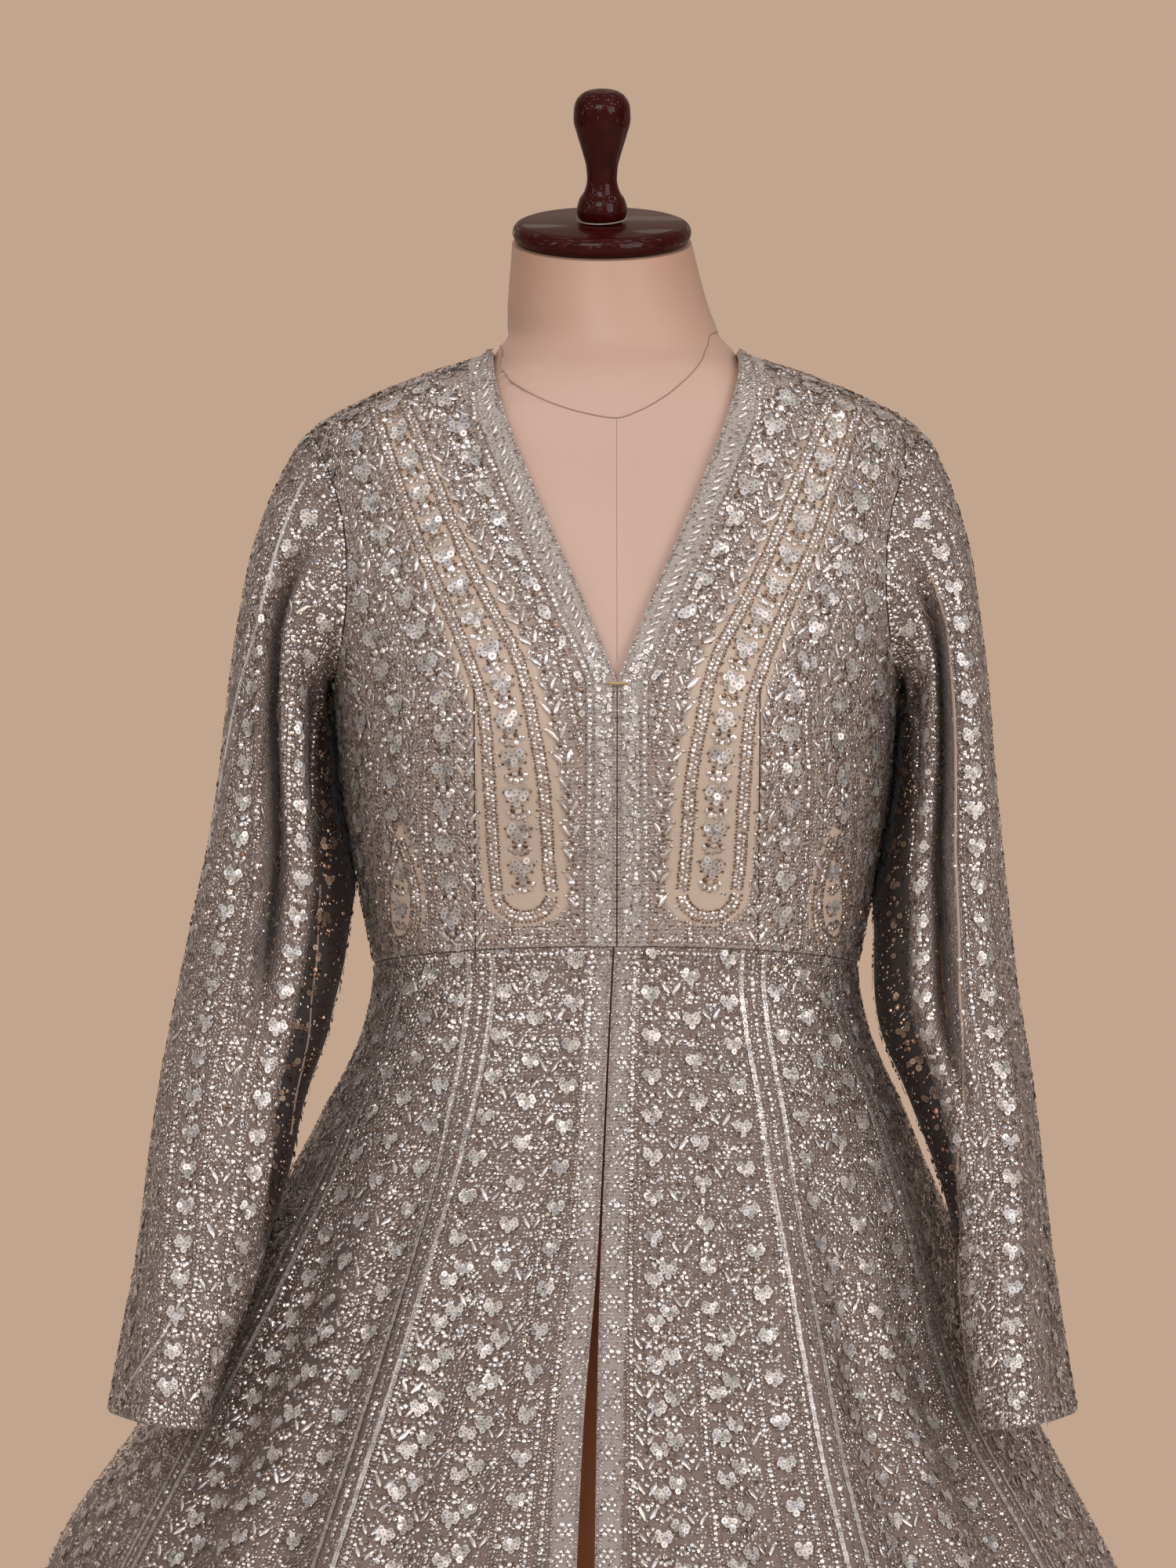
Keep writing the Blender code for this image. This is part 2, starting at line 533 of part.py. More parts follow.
def build_form(finish, sides=28):
    """Torso and neck of the dress form, inside the cloth, with a tilted top for the cap."""
    angle = np.arange(sides) * 2 * np.pi / sides
    hips = FORM_HIPS[:-1, 0]
    width = column(FORM_HIPS, FORM_COLUMNS, "width", hips)[:, None]
    front = column(FORM_HIPS, FORM_COLUMNS, "front", hips)[:, None]
    back = column(FORM_HIPS, FORM_COLUMNS, "back", hips)[:, None]
    centre = column(BODY, BODY_COLUMNS, "centre", hips)[:, None]
    depth = np.where(np.cos(angle) > 0, front, back)
    lower = np.stack([centre + width * np.sin(angle), -depth * np.cos(angle), hips[:, None] + 0 * angle], -1)
    z = np.array(FORM_LEVELS)[:, None] + 0 * angle
    turn = angle[None, :] + 0 * z
    blades = ramp((z - BLADES[0]) / (BLADES[1] - BLADES[0]))
    behind = 1 + BACK_EASE * np.clip(-2 * np.cos(turn), 0, 1) * blades
    bare = ramp((z - COLLAR[0]) / (COLLAR[1] - COLLAR[0]))
    inset = (WALL + behind * column(EASE, EASE_COLUMNS, "ease", z)) * (1 - bare)
    upper = body(turn, z) - inset[..., None] * outward(body, turn, z)
    tilt = np.tan(CAP_TILT) * ramp((z - TILT_START) / (NECK_TOP - TILT_START))
    upper[..., 2] += upper[..., 1] * tilt
    closed_rings("form_torso", np.concatenate([lower, upper]), finish)


def build_cap_and_finial(lacquer):
    """The lacquered cap on the neck and the turned finial on it, both square to the neck's top."""
    up = np.array([0.0, -np.sin(CAP_TILT), np.cos(CAP_TILT)])
    foot = np.array([0.0, 0.0, NECK_TOP]) + up * SEAM
    rim_radius = CAP_THICK / 2
    arc = np.radians(np.linspace(-80, 80, 7))
    rim = [(CAP_RADIUS + rim_radius * (np.cos(a) - 1), rim_radius * (1 + np.sin(a))) for a in arc]
    turned("form_cap", rim, foot, CAP_TILT, lacquer, sides=36)
    seat = foot + up * (rim_radius * (1 + np.sin(arc[-1])) + SEAM)
    turned("form_finial", FINIAL, seat, CAP_TILT, lacquer, sides=24)


def build_stand(metal, wood):
    """A plain pole and a round base."""
    base = [(BASE_RADIUS - BASE_BEVEL, 0.0), (BASE_RADIUS, BASE_BEVEL),
            (BASE_RADIUS, BASE_THICK - BASE_BEVEL), (BASE_RADIUS - BASE_BEVEL, BASE_THICK)]
    turned("stand_base", base, (0, 0, 0), 0.0, wood, sides=40)
    foot, top = BASE_THICK + SEAM, FORM_HIPS[0, 0] - SEAM
    collar, socket = foot + FOOT_HEIGHT, top - HEAD_HEIGHT
    pole = [(FOOT_RADIUS, foot), (FOOT_RADIUS, collar),
            (POLE_RADIUS, collar + FOOT_RADIUS - POLE_RADIUS),
            (POLE_RADIUS, socket - HEAD_RADIUS + POLE_RADIUS), (HEAD_RADIUS, socket), (HEAD_RADIUS, top)]
    turned("stand_pole", pole, (0, 0, 0), 0.0, metal, sides=20)


def main():
    """Clears the scene and builds every piece."""
    for old in list(bpy.data.objects):
        bpy.data.objects.remove(old, do_unlink=True)
    cloth = material("embroidered_cloth", (0.27, 0.20, 0.18), 0.55)
    trim = material("sequin_border", (0.42, 0.36, 0.33), 0.35)
    thread = material("gold_thread", (0.55, 0.38, 0.14), 0.45)
    cover = material("form_cover", (0.60, 0.42, 0.33), 0.60)
    lacquer = material("red_brown_lacquer", (0.06, 0.008, 0.005), 0.12)
    metal = material("stand_steel", (0.35, 0.34, 0.33), 0.35, 1.0)
    wood = material("stand_wood", (0.08, 0.03, 0.02), 0.30)
    build_form(cover)
    build_cap_and_finial(lacquer)
    build_stand(metal, wood)
    for side, word in ((-1, "left"), (1, "right")):
        build_bodice_front(side, f"bodice_front_{word}", cloth, f"border_{word}", trim)
        build_sleeve(side, f"sleeve_{word}", cloth)
    build_bodice_back("bodice_back", cloth, "border_back", trim)
    build_skirt(cloth)
    build_closure("closure_bar", thread)


main()
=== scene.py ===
"""Looks of the embroidered, open-front jacket dress on its dress form.

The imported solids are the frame. Every cloth node is replaced by a thin shell on the same surface,
with finer folds, and the beadwork is set on that surface piece by piece: crystals, seed beads,
sequins and leaves, each placed by its distance along and beside a column of the embroidery.
Metres, +Z up, front towards -Y. "left" and "right" are as seen from the front.
"""

import bpy
import mathutils
import numpy as np
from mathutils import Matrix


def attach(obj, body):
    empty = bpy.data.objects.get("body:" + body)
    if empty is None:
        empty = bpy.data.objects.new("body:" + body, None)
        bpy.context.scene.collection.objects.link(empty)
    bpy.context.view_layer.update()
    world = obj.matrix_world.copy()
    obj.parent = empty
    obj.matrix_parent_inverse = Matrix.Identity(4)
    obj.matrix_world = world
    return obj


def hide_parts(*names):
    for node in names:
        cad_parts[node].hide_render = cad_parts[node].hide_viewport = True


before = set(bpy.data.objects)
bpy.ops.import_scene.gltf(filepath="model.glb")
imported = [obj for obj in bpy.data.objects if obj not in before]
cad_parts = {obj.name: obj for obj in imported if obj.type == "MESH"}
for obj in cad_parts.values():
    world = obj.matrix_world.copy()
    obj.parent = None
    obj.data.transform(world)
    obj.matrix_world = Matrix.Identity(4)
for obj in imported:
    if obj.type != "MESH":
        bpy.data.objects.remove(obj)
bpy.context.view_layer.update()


class Curves:
    """A table whose named columns are read as smooth curves over its first column."""

    def __init__(self, names, rows):
        self.names, self.rows = names.split(), np.array(rows)

    def at(self, names, place):
        """The named columns at an array of places: one array, or a list for several names."""
        found = [smooth(self.rows[:, 0], self.rows[:, self.names.index(name)], np.asarray(place, float))
                 for name in names.split()]
        return found if len(found) > 1 else found[0]


# Sizes of the cut, the same as the solids'
WALL = 0.0016
WAIST_GAP = 0.0005
BORDER_WIDTH = 0.012
BORDER_LIFT = 0.0003
BORDER_WALL = 0.0010
SEAM = 0.0003
SEAM_TURN = 0.0025
HEM = 0.030
WAIST_SIDE = 1.0945
WAIST_RISE = 0.018
NECK_V = 1.2593
UNDERARM = 1.2555
SHOULDER = 1.4035
NECK_POINT = 1.4500
BACK_NECK = 1.4330
NECK_HALF = 0.070
SHOULDER_CROWN = 0.0035
SKIRT_PANELS = 12

# One row for each level ring: half width, depth to the front and back, squareness, centre in X
BODY = Curves("z width front back square centre", [
    (0.0300, 0.6200, 0.6150, 0.6150, 0.00, -0.0120),
    (0.2000, 0.5500, 0.5450, 0.5450, 0.00, -0.0118),
    (0.3500, 0.4860, 0.4800, 0.4800, 0.00, -0.0112),
    (0.5000, 0.4200, 0.4120, 0.4120, 0.00, -0.0102),
    (0.6500, 0.3520, 0.3420, 0.3420, 0.00, -0.0090),
    (0.7525, 0.3020, 0.2900, 0.2900, 0.00, -0.0075),
    (0.8326, 0.2590, 0.2440, 0.2440, 0.00, -0.0045),
    (0.8916, 0.2290, 0.2110, 0.2110, 0.01, -0.0005),
    (0.9505, 0.1990, 0.1780, 0.1780, 0.03, 0.0035),
    (0.9901, 0.1780, 0.1530, 0.1520, 0.05, 0.0060),
    (1.0225, 0.1625, 0.1340, 0.1340, 0.08, 0.0076),
    (1.0405, 0.1530, 0.1240, 0.1230, 0.10, 0.0080),
    (1.0662, 0.1430, 0.1110, 0.1100, 0.12, 0.0080),
    (1.0954, 0.1380, 0.1040, 0.1020, 0.12, 0.0080),
    (1.1100, 0.1405, 0.1050, 0.1020, 0.12, 0.0080),
    (1.1409, 0.1467, 0.1100, 0.1030, 0.12, 0.0080),
    (1.2025, 0.1568, 0.1240, 0.1070, 0.12, 0.0080),
    (1.2400, 0.1605, 0.1280, 0.1110, 0.12, 0.0080),
    (1.2555, 0.1625, 0.1280, 0.1120, 0.12, 0.0080),
    (1.2800, 0.1680, 0.1240, 0.1140, 0.12, 0.0080),
    (1.3000, 0.1720, 0.1190, 0.1150, 0.12, 0.0080),
    (1.3300, 0.1755, 0.1090, 0.1140, 0.12, 0.0080),
    (1.3700, 0.1760, 0.0940, 0.1050, 0.12, 0.0080),
    (1.3900, 0.1750, 0.0850, 0.0960, 0.12, 0.0080),
    (1.4035, 0.1735, 0.0790, 0.0890, 0.12, 0.0080),
    (1.4185, 0.1509, 0.0730, 0.0820, 0.12, 0.0080),
    (1.4365, 0.1090, 0.0660, 0.0730, 0.10, 0.0080),
    (1.4500, 0.0700, 0.0580, 0.0640, 0.05, 0.0075),
    (1.4600, 0.0615, 0.0560, 0.0600, 0.00, 0.0065),
    (1.4800, 0.0570, 0.0540, 0.0560, 0.00, 0.0030),
    (1.5130, 0.0515, 0.0510, 0.0510, 0.00, 0.0000),
])
FLUTES = 24
FLUTE_HEM = 0.014
FLUTE_GROWTH = 1.6
FLUTE_DRIFT = 0.7       # how unevenly the flutes are spaced
FLUTE_MEAN, FLUTE_SWING = 0.85, 0.3
BUST_OUT = 0.010
BUST_APART = 0.085
BUST_HEIGHT = 1.235
BUST_SPREAD = 0.042
REST_IN = 0.014
REST_TURN = np.radians(63.0)
REST_TURN_SPREAD = np.radians(16.0)
REST_HEIGHT = 0.875
REST_HEIGHT_SPREAD = 0.055

# Half width of the neck opening, and the front opening of the skirt
NECK = Curves("z half", [
    (1.2593, 0.0004), (1.2713, 0.0050), (1.3062, 0.0193), (1.3415, 0.0350),
    (1.3777, 0.0500), (1.4156, 0.0642), (1.4365, 0.0690), (1.4500, 0.0700),
])
SLIT = Curves("z middle half", [
    (0.0300, -0.0260, 0.0150),
    (0.5000, -0.0170, 0.0085),
    (0.7525, -0.0104, 0.0053),
    (0.8600, -0.0070, 0.0036),
    (0.9550, -0.0015, 0.0008),
    (1.0400, 0.0030, 0.0005),
    (1.1200, 0.0068, 0.0005),
])

# One row for each ring of a sleeve, as in the solids
SLEEVE = Curves("along outer outer_lean outer_z inner inner_lean inner_z forward depth yaw", [
    (0.00, 0.1725, 0.0080, 1.4035, 0.1640, 0.0080, 1.2555, 0.000, 0.0600, 0.0),
    (0.04, 0.1850, 0.0075, 1.3890, 0.1650, 0.0080, 1.2475, 0.001, 0.0640, 0.0),
    (0.09, 0.1955, 0.0062, 1.3650, 0.1640, 0.0080, 1.2380, 0.002, 0.0655, 0.0),
    (0.15, 0.2040, 0.0052, 1.3330, 0.1622, 0.0080, 1.2260, 0.004, 0.0655, 0.0),
    (0.22, 0.2098, 0.0043, 1.2960, 0.1606, 0.0080, 1.2090, 0.006, 0.0650, 0.0),
    (0.29, 0.2145, 0.0037, 1.2570, 0.1580, 0.0080, 1.1880, 0.009, 0.0640, 0.0),
    (0.36, 0.2178, 0.0030, 1.2150, 0.1540, 0.0080, 1.1640, 0.013, 0.0630, 0.0),
    (0.43, 0.2225, 0.0018, 1.1720, 0.1500, 0.0068, 1.1380, 0.018, 0.0620, 0.0),
    (0.50, 0.2295, -0.0005, 1.1280, 0.1500, 0.0048, 1.1080, 0.025, 0.0610, 0.0),
    (0.58, 0.2365, -0.0025, 1.0830, 0.1545, 0.0015, 1.0680, 0.034, 0.0595, 1.0),
    (0.66, 0.2440, -0.0032, 1.0400, 0.1690, 0.0030, 1.0250, 0.046, 0.0580, 4.0),
    (0.75, 0.2500, -0.0040, 0.9900, 0.1820, 0.0065, 0.9770, 0.064, 0.0560, 9.0),
    (0.84, 0.2535, -0.0045, 0.9400, 0.1955, 0.0030, 0.9300, 0.086, 0.0530, 16.0),
    (0.92, 0.2575, -0.0055, 0.8960, 0.2075, -0.0030, 0.8880, 0.106, 0.0500, 22.0),
    (1.00, 0.2615, -0.0055, 0.8560, 0.2180, -0.0060, 0.8500, 0.126, 0.0465, 26.0),
])
ARMHOLE_SCOOP = 0.024
ARMHOLE_GAP = 0.0005
SLEEVE_BLEND = 0.16
CAP_OUT = 0.06
# Long creases of the sleeves: side (0 is both), angle where each starts and ends, depth, start and end
# along the sleeve, and spread in degrees. A ridge has a negative depth.
CREASES = (
    (-1, 66.0, 100.0, 0.0220, 0.04, 0.62, 4.6),
    (-1, 56.0, 90.0, -0.0040, 0.08, 0.66, 4.0),
    (-1, 142.0, 154.0, 0.0200, 0.08, 0.84, 15.0),
    (-1, 112.0, 126.0, -0.0040, 0.14, 0.84, 6.0),
    (-1, 40.0, 62.0, 0.0040, 0.45, 0.95, 10.0),
    (1, 88.5, 95.0, 0.0220, 0.04, 0.68, 4.5),
    (1, 79.0, 86.0, -0.0050, 0.08, 0.74, 4.0),
    (1, 112.0, 124.0, -0.0040, 0.10, 0.66, 8.0),
    (1, 140.0, 152.0, 0.0200, 0.08, 0.86, 15.0),
    (1, 48.0, 30.0, 0.0040, 0.40, 0.92, 10.0),
    (1, 46.0, 46.0, -0.0085, 0.02, 1.12, 19.0),
    (-1, 40.0, 44.0, -0.0075, 0.02, 1.12, 18.0),
    (0, 318.0, 318.0, 0.0038, 0.10, 0.80, 13.0),
    (0, 236.0, 236.0, 0.0050, 0.04, 0.48, 13.0),
)
CREASE_FADE_IN = 0.10
CREASE_FADE_OUT = 0.14
# How far a sleeve tucks in behind the side of the bodice
TUCK = 0.0068
TUCK_AT = 215.0
TUCK_SPREAD = 15.0
TUCK_START, TUCK_IN = 0.03, 0.12
TUCK_END, TUCK_OUT = 0.54, 0.14

# Dress form and its turned top
EASE = Curves("z ease", [
    (0.760, 0.0300), (1.000, 0.0150), (1.095, 0.0080), (1.200, 0.0035),
    (1.330, 0.0030), (1.400, 0.0032), (1.450, 0.0032),
])
BACK_EASE = 0.9
BLADES = (1.33, 1.39)
COLLAR = (1.449, 1.467)
FORM_HIPS = Curves("z width front back", [
    (0.760, 0.1500, 0.0950, 0.1000),
    (0.800, 0.1580, 0.1000, 0.1080),
    (0.860, 0.1640, 0.1060, 0.1180),
    (0.920, 0.1635, 0.1080, 0.1230),
    (0.980, 0.1540, 0.1050, 0.1170),
    (1.040, 0.1380, 0.0990, 0.1050),
    (1.095, 0.1285, 0.0945, 0.0925),
])
BARE_FRONT = (1.385, 1.445)     # heights between which the form stands forward inside the neck opening
BARE_EDGE = 0.014       # over how much of its width there
NECK_TOP = 1.5130
TILT_START = 1.452
CAP_TILT = np.radians(17.0)
CAP_RADIUS = 0.0513
CAP_THICK = 0.0120
FINIAL = (
    (0.0108, 0.0000), (0.0134, 0.0022), (0.0145, 0.0070), (0.0132, 0.0125), (0.0102, 0.0175),
    (0.0086, 0.0245), (0.0090, 0.0310), (0.0112, 0.0400), (0.0142, 0.0500), (0.0163, 0.0590),
    (0.0160, 0.0660), (0.0130, 0.0722), (0.0080, 0.0752), (0.0030, 0.0762),
)


# Shapes: small formulas

def smooth(points, values, at):
    """A monotone cubic through (points, values), read at any array of places."""
    step = np.diff(points)
    rise = np.diff(values) / step
    slope = np.concatenate([rise[:1], np.zeros(len(rise) - 1), rise[-1:]])
    same = rise[:-1] * rise[1:] > 0
    total = np.where(same, rise[:-1] + rise[1:], 1.0)
    slope[1:-1] = np.where(same, 2 * rise[:-1] * rise[1:] / total, 0.0)
    k = np.clip(np.searchsorted(points, at) - 1, 0, len(step) - 1)
    t = np.clip((at - points[k]) / step[k], 0.0, 1.0)
    low = values[k] * (1 + 2 * t) * (1 - t) ** 2 + slope[k] * step[k] * t * (1 - t) ** 2
    high = values[k + 1] * (3 - 2 * t) * t ** 2 - slope[k + 1] * step[k] * (1 - t) * t ** 2
    return low + high


def wrapped(angle, half=np.pi):
    """The same angle between minus and plus a half turn."""
    return (angle + half) % (2 * half) - half


def ramp(t):
    """Runs softly from 0 to 1 as t does."""
    t = np.clip(t, 0.0, 1.0)
    return t * t * (3 - 2 * t)


def hill(distance, spread):
    """A soft bump of height 1."""
    return np.exp(-0.5 * (distance / spread) ** 2)


def unit(v):
    """Vectors of length 1."""
    return v / np.linalg.norm(v, axis=-1, keepdims=True)


# Soft troughs of the skirt, uneven as they hang: turn at the top in degrees, drift over the
# length in degrees, top and foot, depth and half width in metres. A ridge has a negative depth.
FOLDS = (
    (-14.0, -2.0, 1.060, 0.100, 0.0050, 0.0110),
    (-23.0, 1.5, 0.980, 0.250, 0.0060, 0.0120),
    (-36.0, -1.0, 1.050, 0.400, 0.0055, 0.0130),
    (-52.0, 3.0, 1.020, 0.150, 0.0060, 0.0150),
    (-88.0, 0.0, 0.860, 0.700, -0.0100, 0.0450),
    (12.0, 2.0, 1.000, 0.300, 0.0040, 0.0110),
    (21.0, -2.0, 1.065, 0.500, 0.0050, 0.0120),
    (39.0, 1.0, 1.030, 0.120, 0.0060, 0.0140),
    (54.0, -3.0, 0.960, 0.300, 0.0055, 0.0150),
    (75.0, 4.0, 1.040, 0.200, 0.0060, 0.0150),
    (97.0, -3.0, 1.050, 0.350, 0.0050, 0.0140),
    (118.0, 2.0, 1.000, 0.100, 0.0060, 0.0150),
    (141.0, -2.0, 1.060, 0.420, 0.0055, 0.0130),
    (163.0, 3.0, 0.980, 0.200, 0.0060, 0.0140),
    (-171.0, -2.0, 1.040, 0.300, 0.0050, 0.0130),
    (-152.0, 1.0, 1.060, 0.120, 0.0060, 0.0150),
    (-129.0, -3.0, 0.990, 0.450, 0.0055, 0.0140),
    (-108.0, 2.0, 1.050, 0.250, 0.0060, 0.0150),
)
FOLD_SOFT = 0.12
FOLD_DEPTH = 1.60


def folds(turn, z, radius):
    """How far the troughs pull the skirt in: a hill across each, faded at its top and foot."""
    deep = np.zeros_like(z)
    for first, drift, top, foot, depth, half in FOLDS:
        share = np.clip((top - z) / (top - foot), 0, 1)
        off = wrapped(turn - np.radians(first + drift * share))
        run = ramp((top - z) / FOLD_SOFT) * ramp((z - foot) / FOLD_SOFT)
        deep = deep + depth * run * hill(off * radius, half)
    return FOLD_DEPTH * deep


def waist_height(turn):
    """Height of the waist seam, which rises at the centre front."""
    return WAIST_SIDE + WAIST_RISE * ((1 + np.cos(turn)) / 2) ** 2


def body(turn, z):
    """Outer face of the cloth: a ring x = width sin, y = -depth cos at each height, fluted towards the hem."""
    turn, z = np.broadcast_arrays(np.asarray(turn, float), np.asarray(z, float))
    width, front, back, square, centre = BODY.at("width front back square centre", z)
    s, c = np.sin(turn), np.cos(turn)
    x = width * s * (1 + square * c * c)
    y = -np.where(c > 0, front, back) * c * (1 + square * s * s)
    bust = hill(np.abs(x) - BUST_APART, BUST_SPREAD) * hill(z - BUST_HEIGHT, BUST_SPREAD)
    y = y - BUST_OUT * np.clip(c, 0, 1) * bust
    grown = np.clip((WAIST_SIDE - z) / (WAIST_SIDE - HEM), 0, 1) ** FLUTE_GROWTH
    wave = (np.cos(FLUTES * turn + FLUTE_DRIFT * np.sin(2 * turn))
            * (FLUTE_MEAN + FLUTE_SWING * np.cos(5 * turn + 1.0)))
    give = hill(np.abs(turn) - REST_TURN, REST_TURN_SPREAD) * hill(z - REST_HEIGHT, REST_HEIGHT_SPREAD)
    radius = np.hypot(x, y)
    out = 1 + (FLUTE_HEM * grown * wave - REST_IN * give - folds(turn, z, radius)) / radius
    return np.stack([centre + x * out, y * out, z], axis=-1)


def turn_at(share, square):
    """The turn where the ring has this share of its half width, by Newton's steps."""
    s = np.clip(share, 0.0, 1.0)
    for _ in range(6):
        s = s - (s * (1 + square * (1 - s * s)) - share) / (1 + square * (1 - 3 * s * s))
        s = np.clip(s, 0.0, 1.0)
    return np.arcsin(s)


NEARLY = 0.999          # share of the half width that a loop's middle line stays within


def turn_of(x, z, most=1.0):
    """The turn where the ring at a height is x beside its centre."""
    width, square = BODY.at("width square", z)
    return turn_at(np.minimum(x / width, most), square)


def armhole(angle):
    """Turn and height of the armhole line: 0 at the shoulder, pi at the underarm."""
    z = (SHOULDER + UNDERARM) / 2 + (SHOULDER - UNDERARM) / 2 * np.cos(angle)
    width, square = BODY.at("width square", z)
    share = 1 - ARMHOLE_SCOOP * np.sin(angle) ** 2 / width
    return turn_at(share, square), z


def sleeve(side, angle, along):
    """Outer face of a sleeve: angle is 0 outside and 90 degrees in front, along runs to the cuff.

    Each ring is centre + cos(angle) across + sin(angle) forward, from the table's outer and inner points and
    depth, drawn in by the creases, and it grows out of the armhole.
    """
    angle, along = np.broadcast_arrays(np.asarray(angle, float), np.asarray(along, float))
    out_x, out_lean, out_z, in_x, in_lean, in_z, ahead, depth, yaw = SLEEVE.at(
        "outer outer_lean outer_z inner inner_lean inner_z forward depth yaw", along)
    outer = np.stack([side * out_x + out_lean, -ahead, out_z], -1)
    inner = np.stack([side * in_x + in_lean, -ahead, in_z], -1)
    centre, across = (outer + inner) / 2, (outer - inner) / 2
    yaw, flat = np.radians(yaw), across[..., 0]
    across = np.stack([flat * np.cos(yaw), -np.abs(flat) * np.sin(yaw), across[..., 2]], -1)
    forward = np.stack([-side * np.sin(yaw), -np.cos(yaw), np.zeros_like(yaw)], -1) * depth[..., None]
    degrees = np.degrees(angle)
    deep = np.zeros_like(along)
    for which, first, last, depth, start, end, spread in CREASES:
        if which in (0, side):
            share = np.clip((along - start) / (end - start), 0, 1)
            off = wrapped(degrees - (first * (1 - share) + last * share), 180)
            run = ramp((along - start) / CREASE_FADE_IN) * ramp((end - along) / CREASE_FADE_OUT)
            deep = deep + depth * hill(off, spread) * run
    shrink = (1 - deep / np.linalg.norm(across, axis=-1))[..., None]
    tube = centre + shrink * (np.cos(angle)[..., None] * across + np.sin(angle)[..., None] * forward)
    run = ramp((along - TUCK_START) / TUCK_IN) * ramp((TUCK_END - along) / TUCK_OUT)
    tube[..., 0] -= side * TUCK * hill(wrapped(degrees - TUCK_AT, 180), TUCK_SPREAD) * run
    seam_turn, seam_z = armhole(angle)
    seam = body(side * np.where(np.sin(angle) >= 0, seam_turn, np.pi - seam_turn), seam_z)
    seam[..., 0] += side * (ARMHOLE_GAP + along * CAP_OUT)
    mix = ramp(along / SLEEVE_BLEND)[..., None]
    return seam * (1 - mix) + tube * mix


def sleeve_left(angle, along):
    """The sleeve at the left of the picture, turned so that its slopes cross outward."""
    return sleeve(-1, -angle, along)


def sleeve_right(angle, along):
    """The sleeve at the right of the picture."""
    return sleeve(1, angle, along)


def slopes(surface, u, v, step=5e-4):
    """Slopes of a surface along both of its parameters, by central differences."""
    along_u = (surface(u + step, v) - surface(u - step, v)) / (2 * step)
    along_v = (surface(u, v + step) - surface(u, v - step)) / (2 * step)
    return along_u, along_v


# Meshes

def grid_faces(rows, cols, wrap=False):
    """Quads of a grid of points, row by row; wrap joins the last column to the first."""
    i, j = np.meshgrid(np.arange(rows - 1), np.arange(cols if wrap else cols - 1), indexing="ij")
    k = (j + 1) % cols
    return np.stack([i * cols + j, i * cols + k, (i + 1) * cols + k, (i + 1) * cols + j], -1).reshape(-1, 4)


def build_mesh(name, points, faces, finishes, index=None, uv=None, tint=None, soft=None):
    """One mesh object from whole arrays; uv and tint have one value for each point."""
    mesh = bpy.data.meshes.new(name)
    mesh.vertices.add(len(points))
    mesh.vertices.foreach_set("co", np.asarray(points, np.float32).ravel())
    sides = faces.shape[1]
    mesh.loops.add(faces.size)
    mesh.loops.foreach_set("vertex_index", faces.astype(np.int32).ravel())
    mesh.polygons.add(len(faces))
    mesh.polygons.foreach_set("loop_start", np.arange(0, faces.size, sides, dtype=np.int32))
    if index is not None:
        mesh.polygons.foreach_set("material_index", np.asarray(index, np.int32))
    if uv is not None:
        layer = mesh.uv_layers.new(name="UVMap")
        layer.uv.foreach_set("vector", np.asarray(uv, np.float32)[faces.ravel()].ravel())
    if tint is not None:
        colour = mesh.color_attributes.new("tint", "FLOAT_COLOR", "POINT")
        colour.data.foreach_set("color", np.column_stack([tint, np.ones(len(tint))]).astype(np.float32).ravel())
    mesh.update(calc_edges=True)
    if soft is None:
        mesh.shade_flat()
    else:
        mesh.shade_smooth()
        mesh.set_sharp_from_angle(angle=np.radians(soft))
    for finish in finishes:
        mesh.materials.append(finish)
    made = bpy.data.objects.new(name, mesh)
    bpy.context.scene.collection.objects.link(made)
    return made


def lengths(points, axis):
    """Distance run along one direction of a grid of points, from its first row or column."""
    step = np.linalg.norm(np.diff(points, axis=axis), axis=-1)
    return np.insert(np.cumsum(step, axis=axis), 0, 0.0, axis=axis)


def settle(made, node=None):
    """Hangs a piece on the root and hides the solid node that it stands for."""
    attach(made, "root")
    if node:
        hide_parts(node)


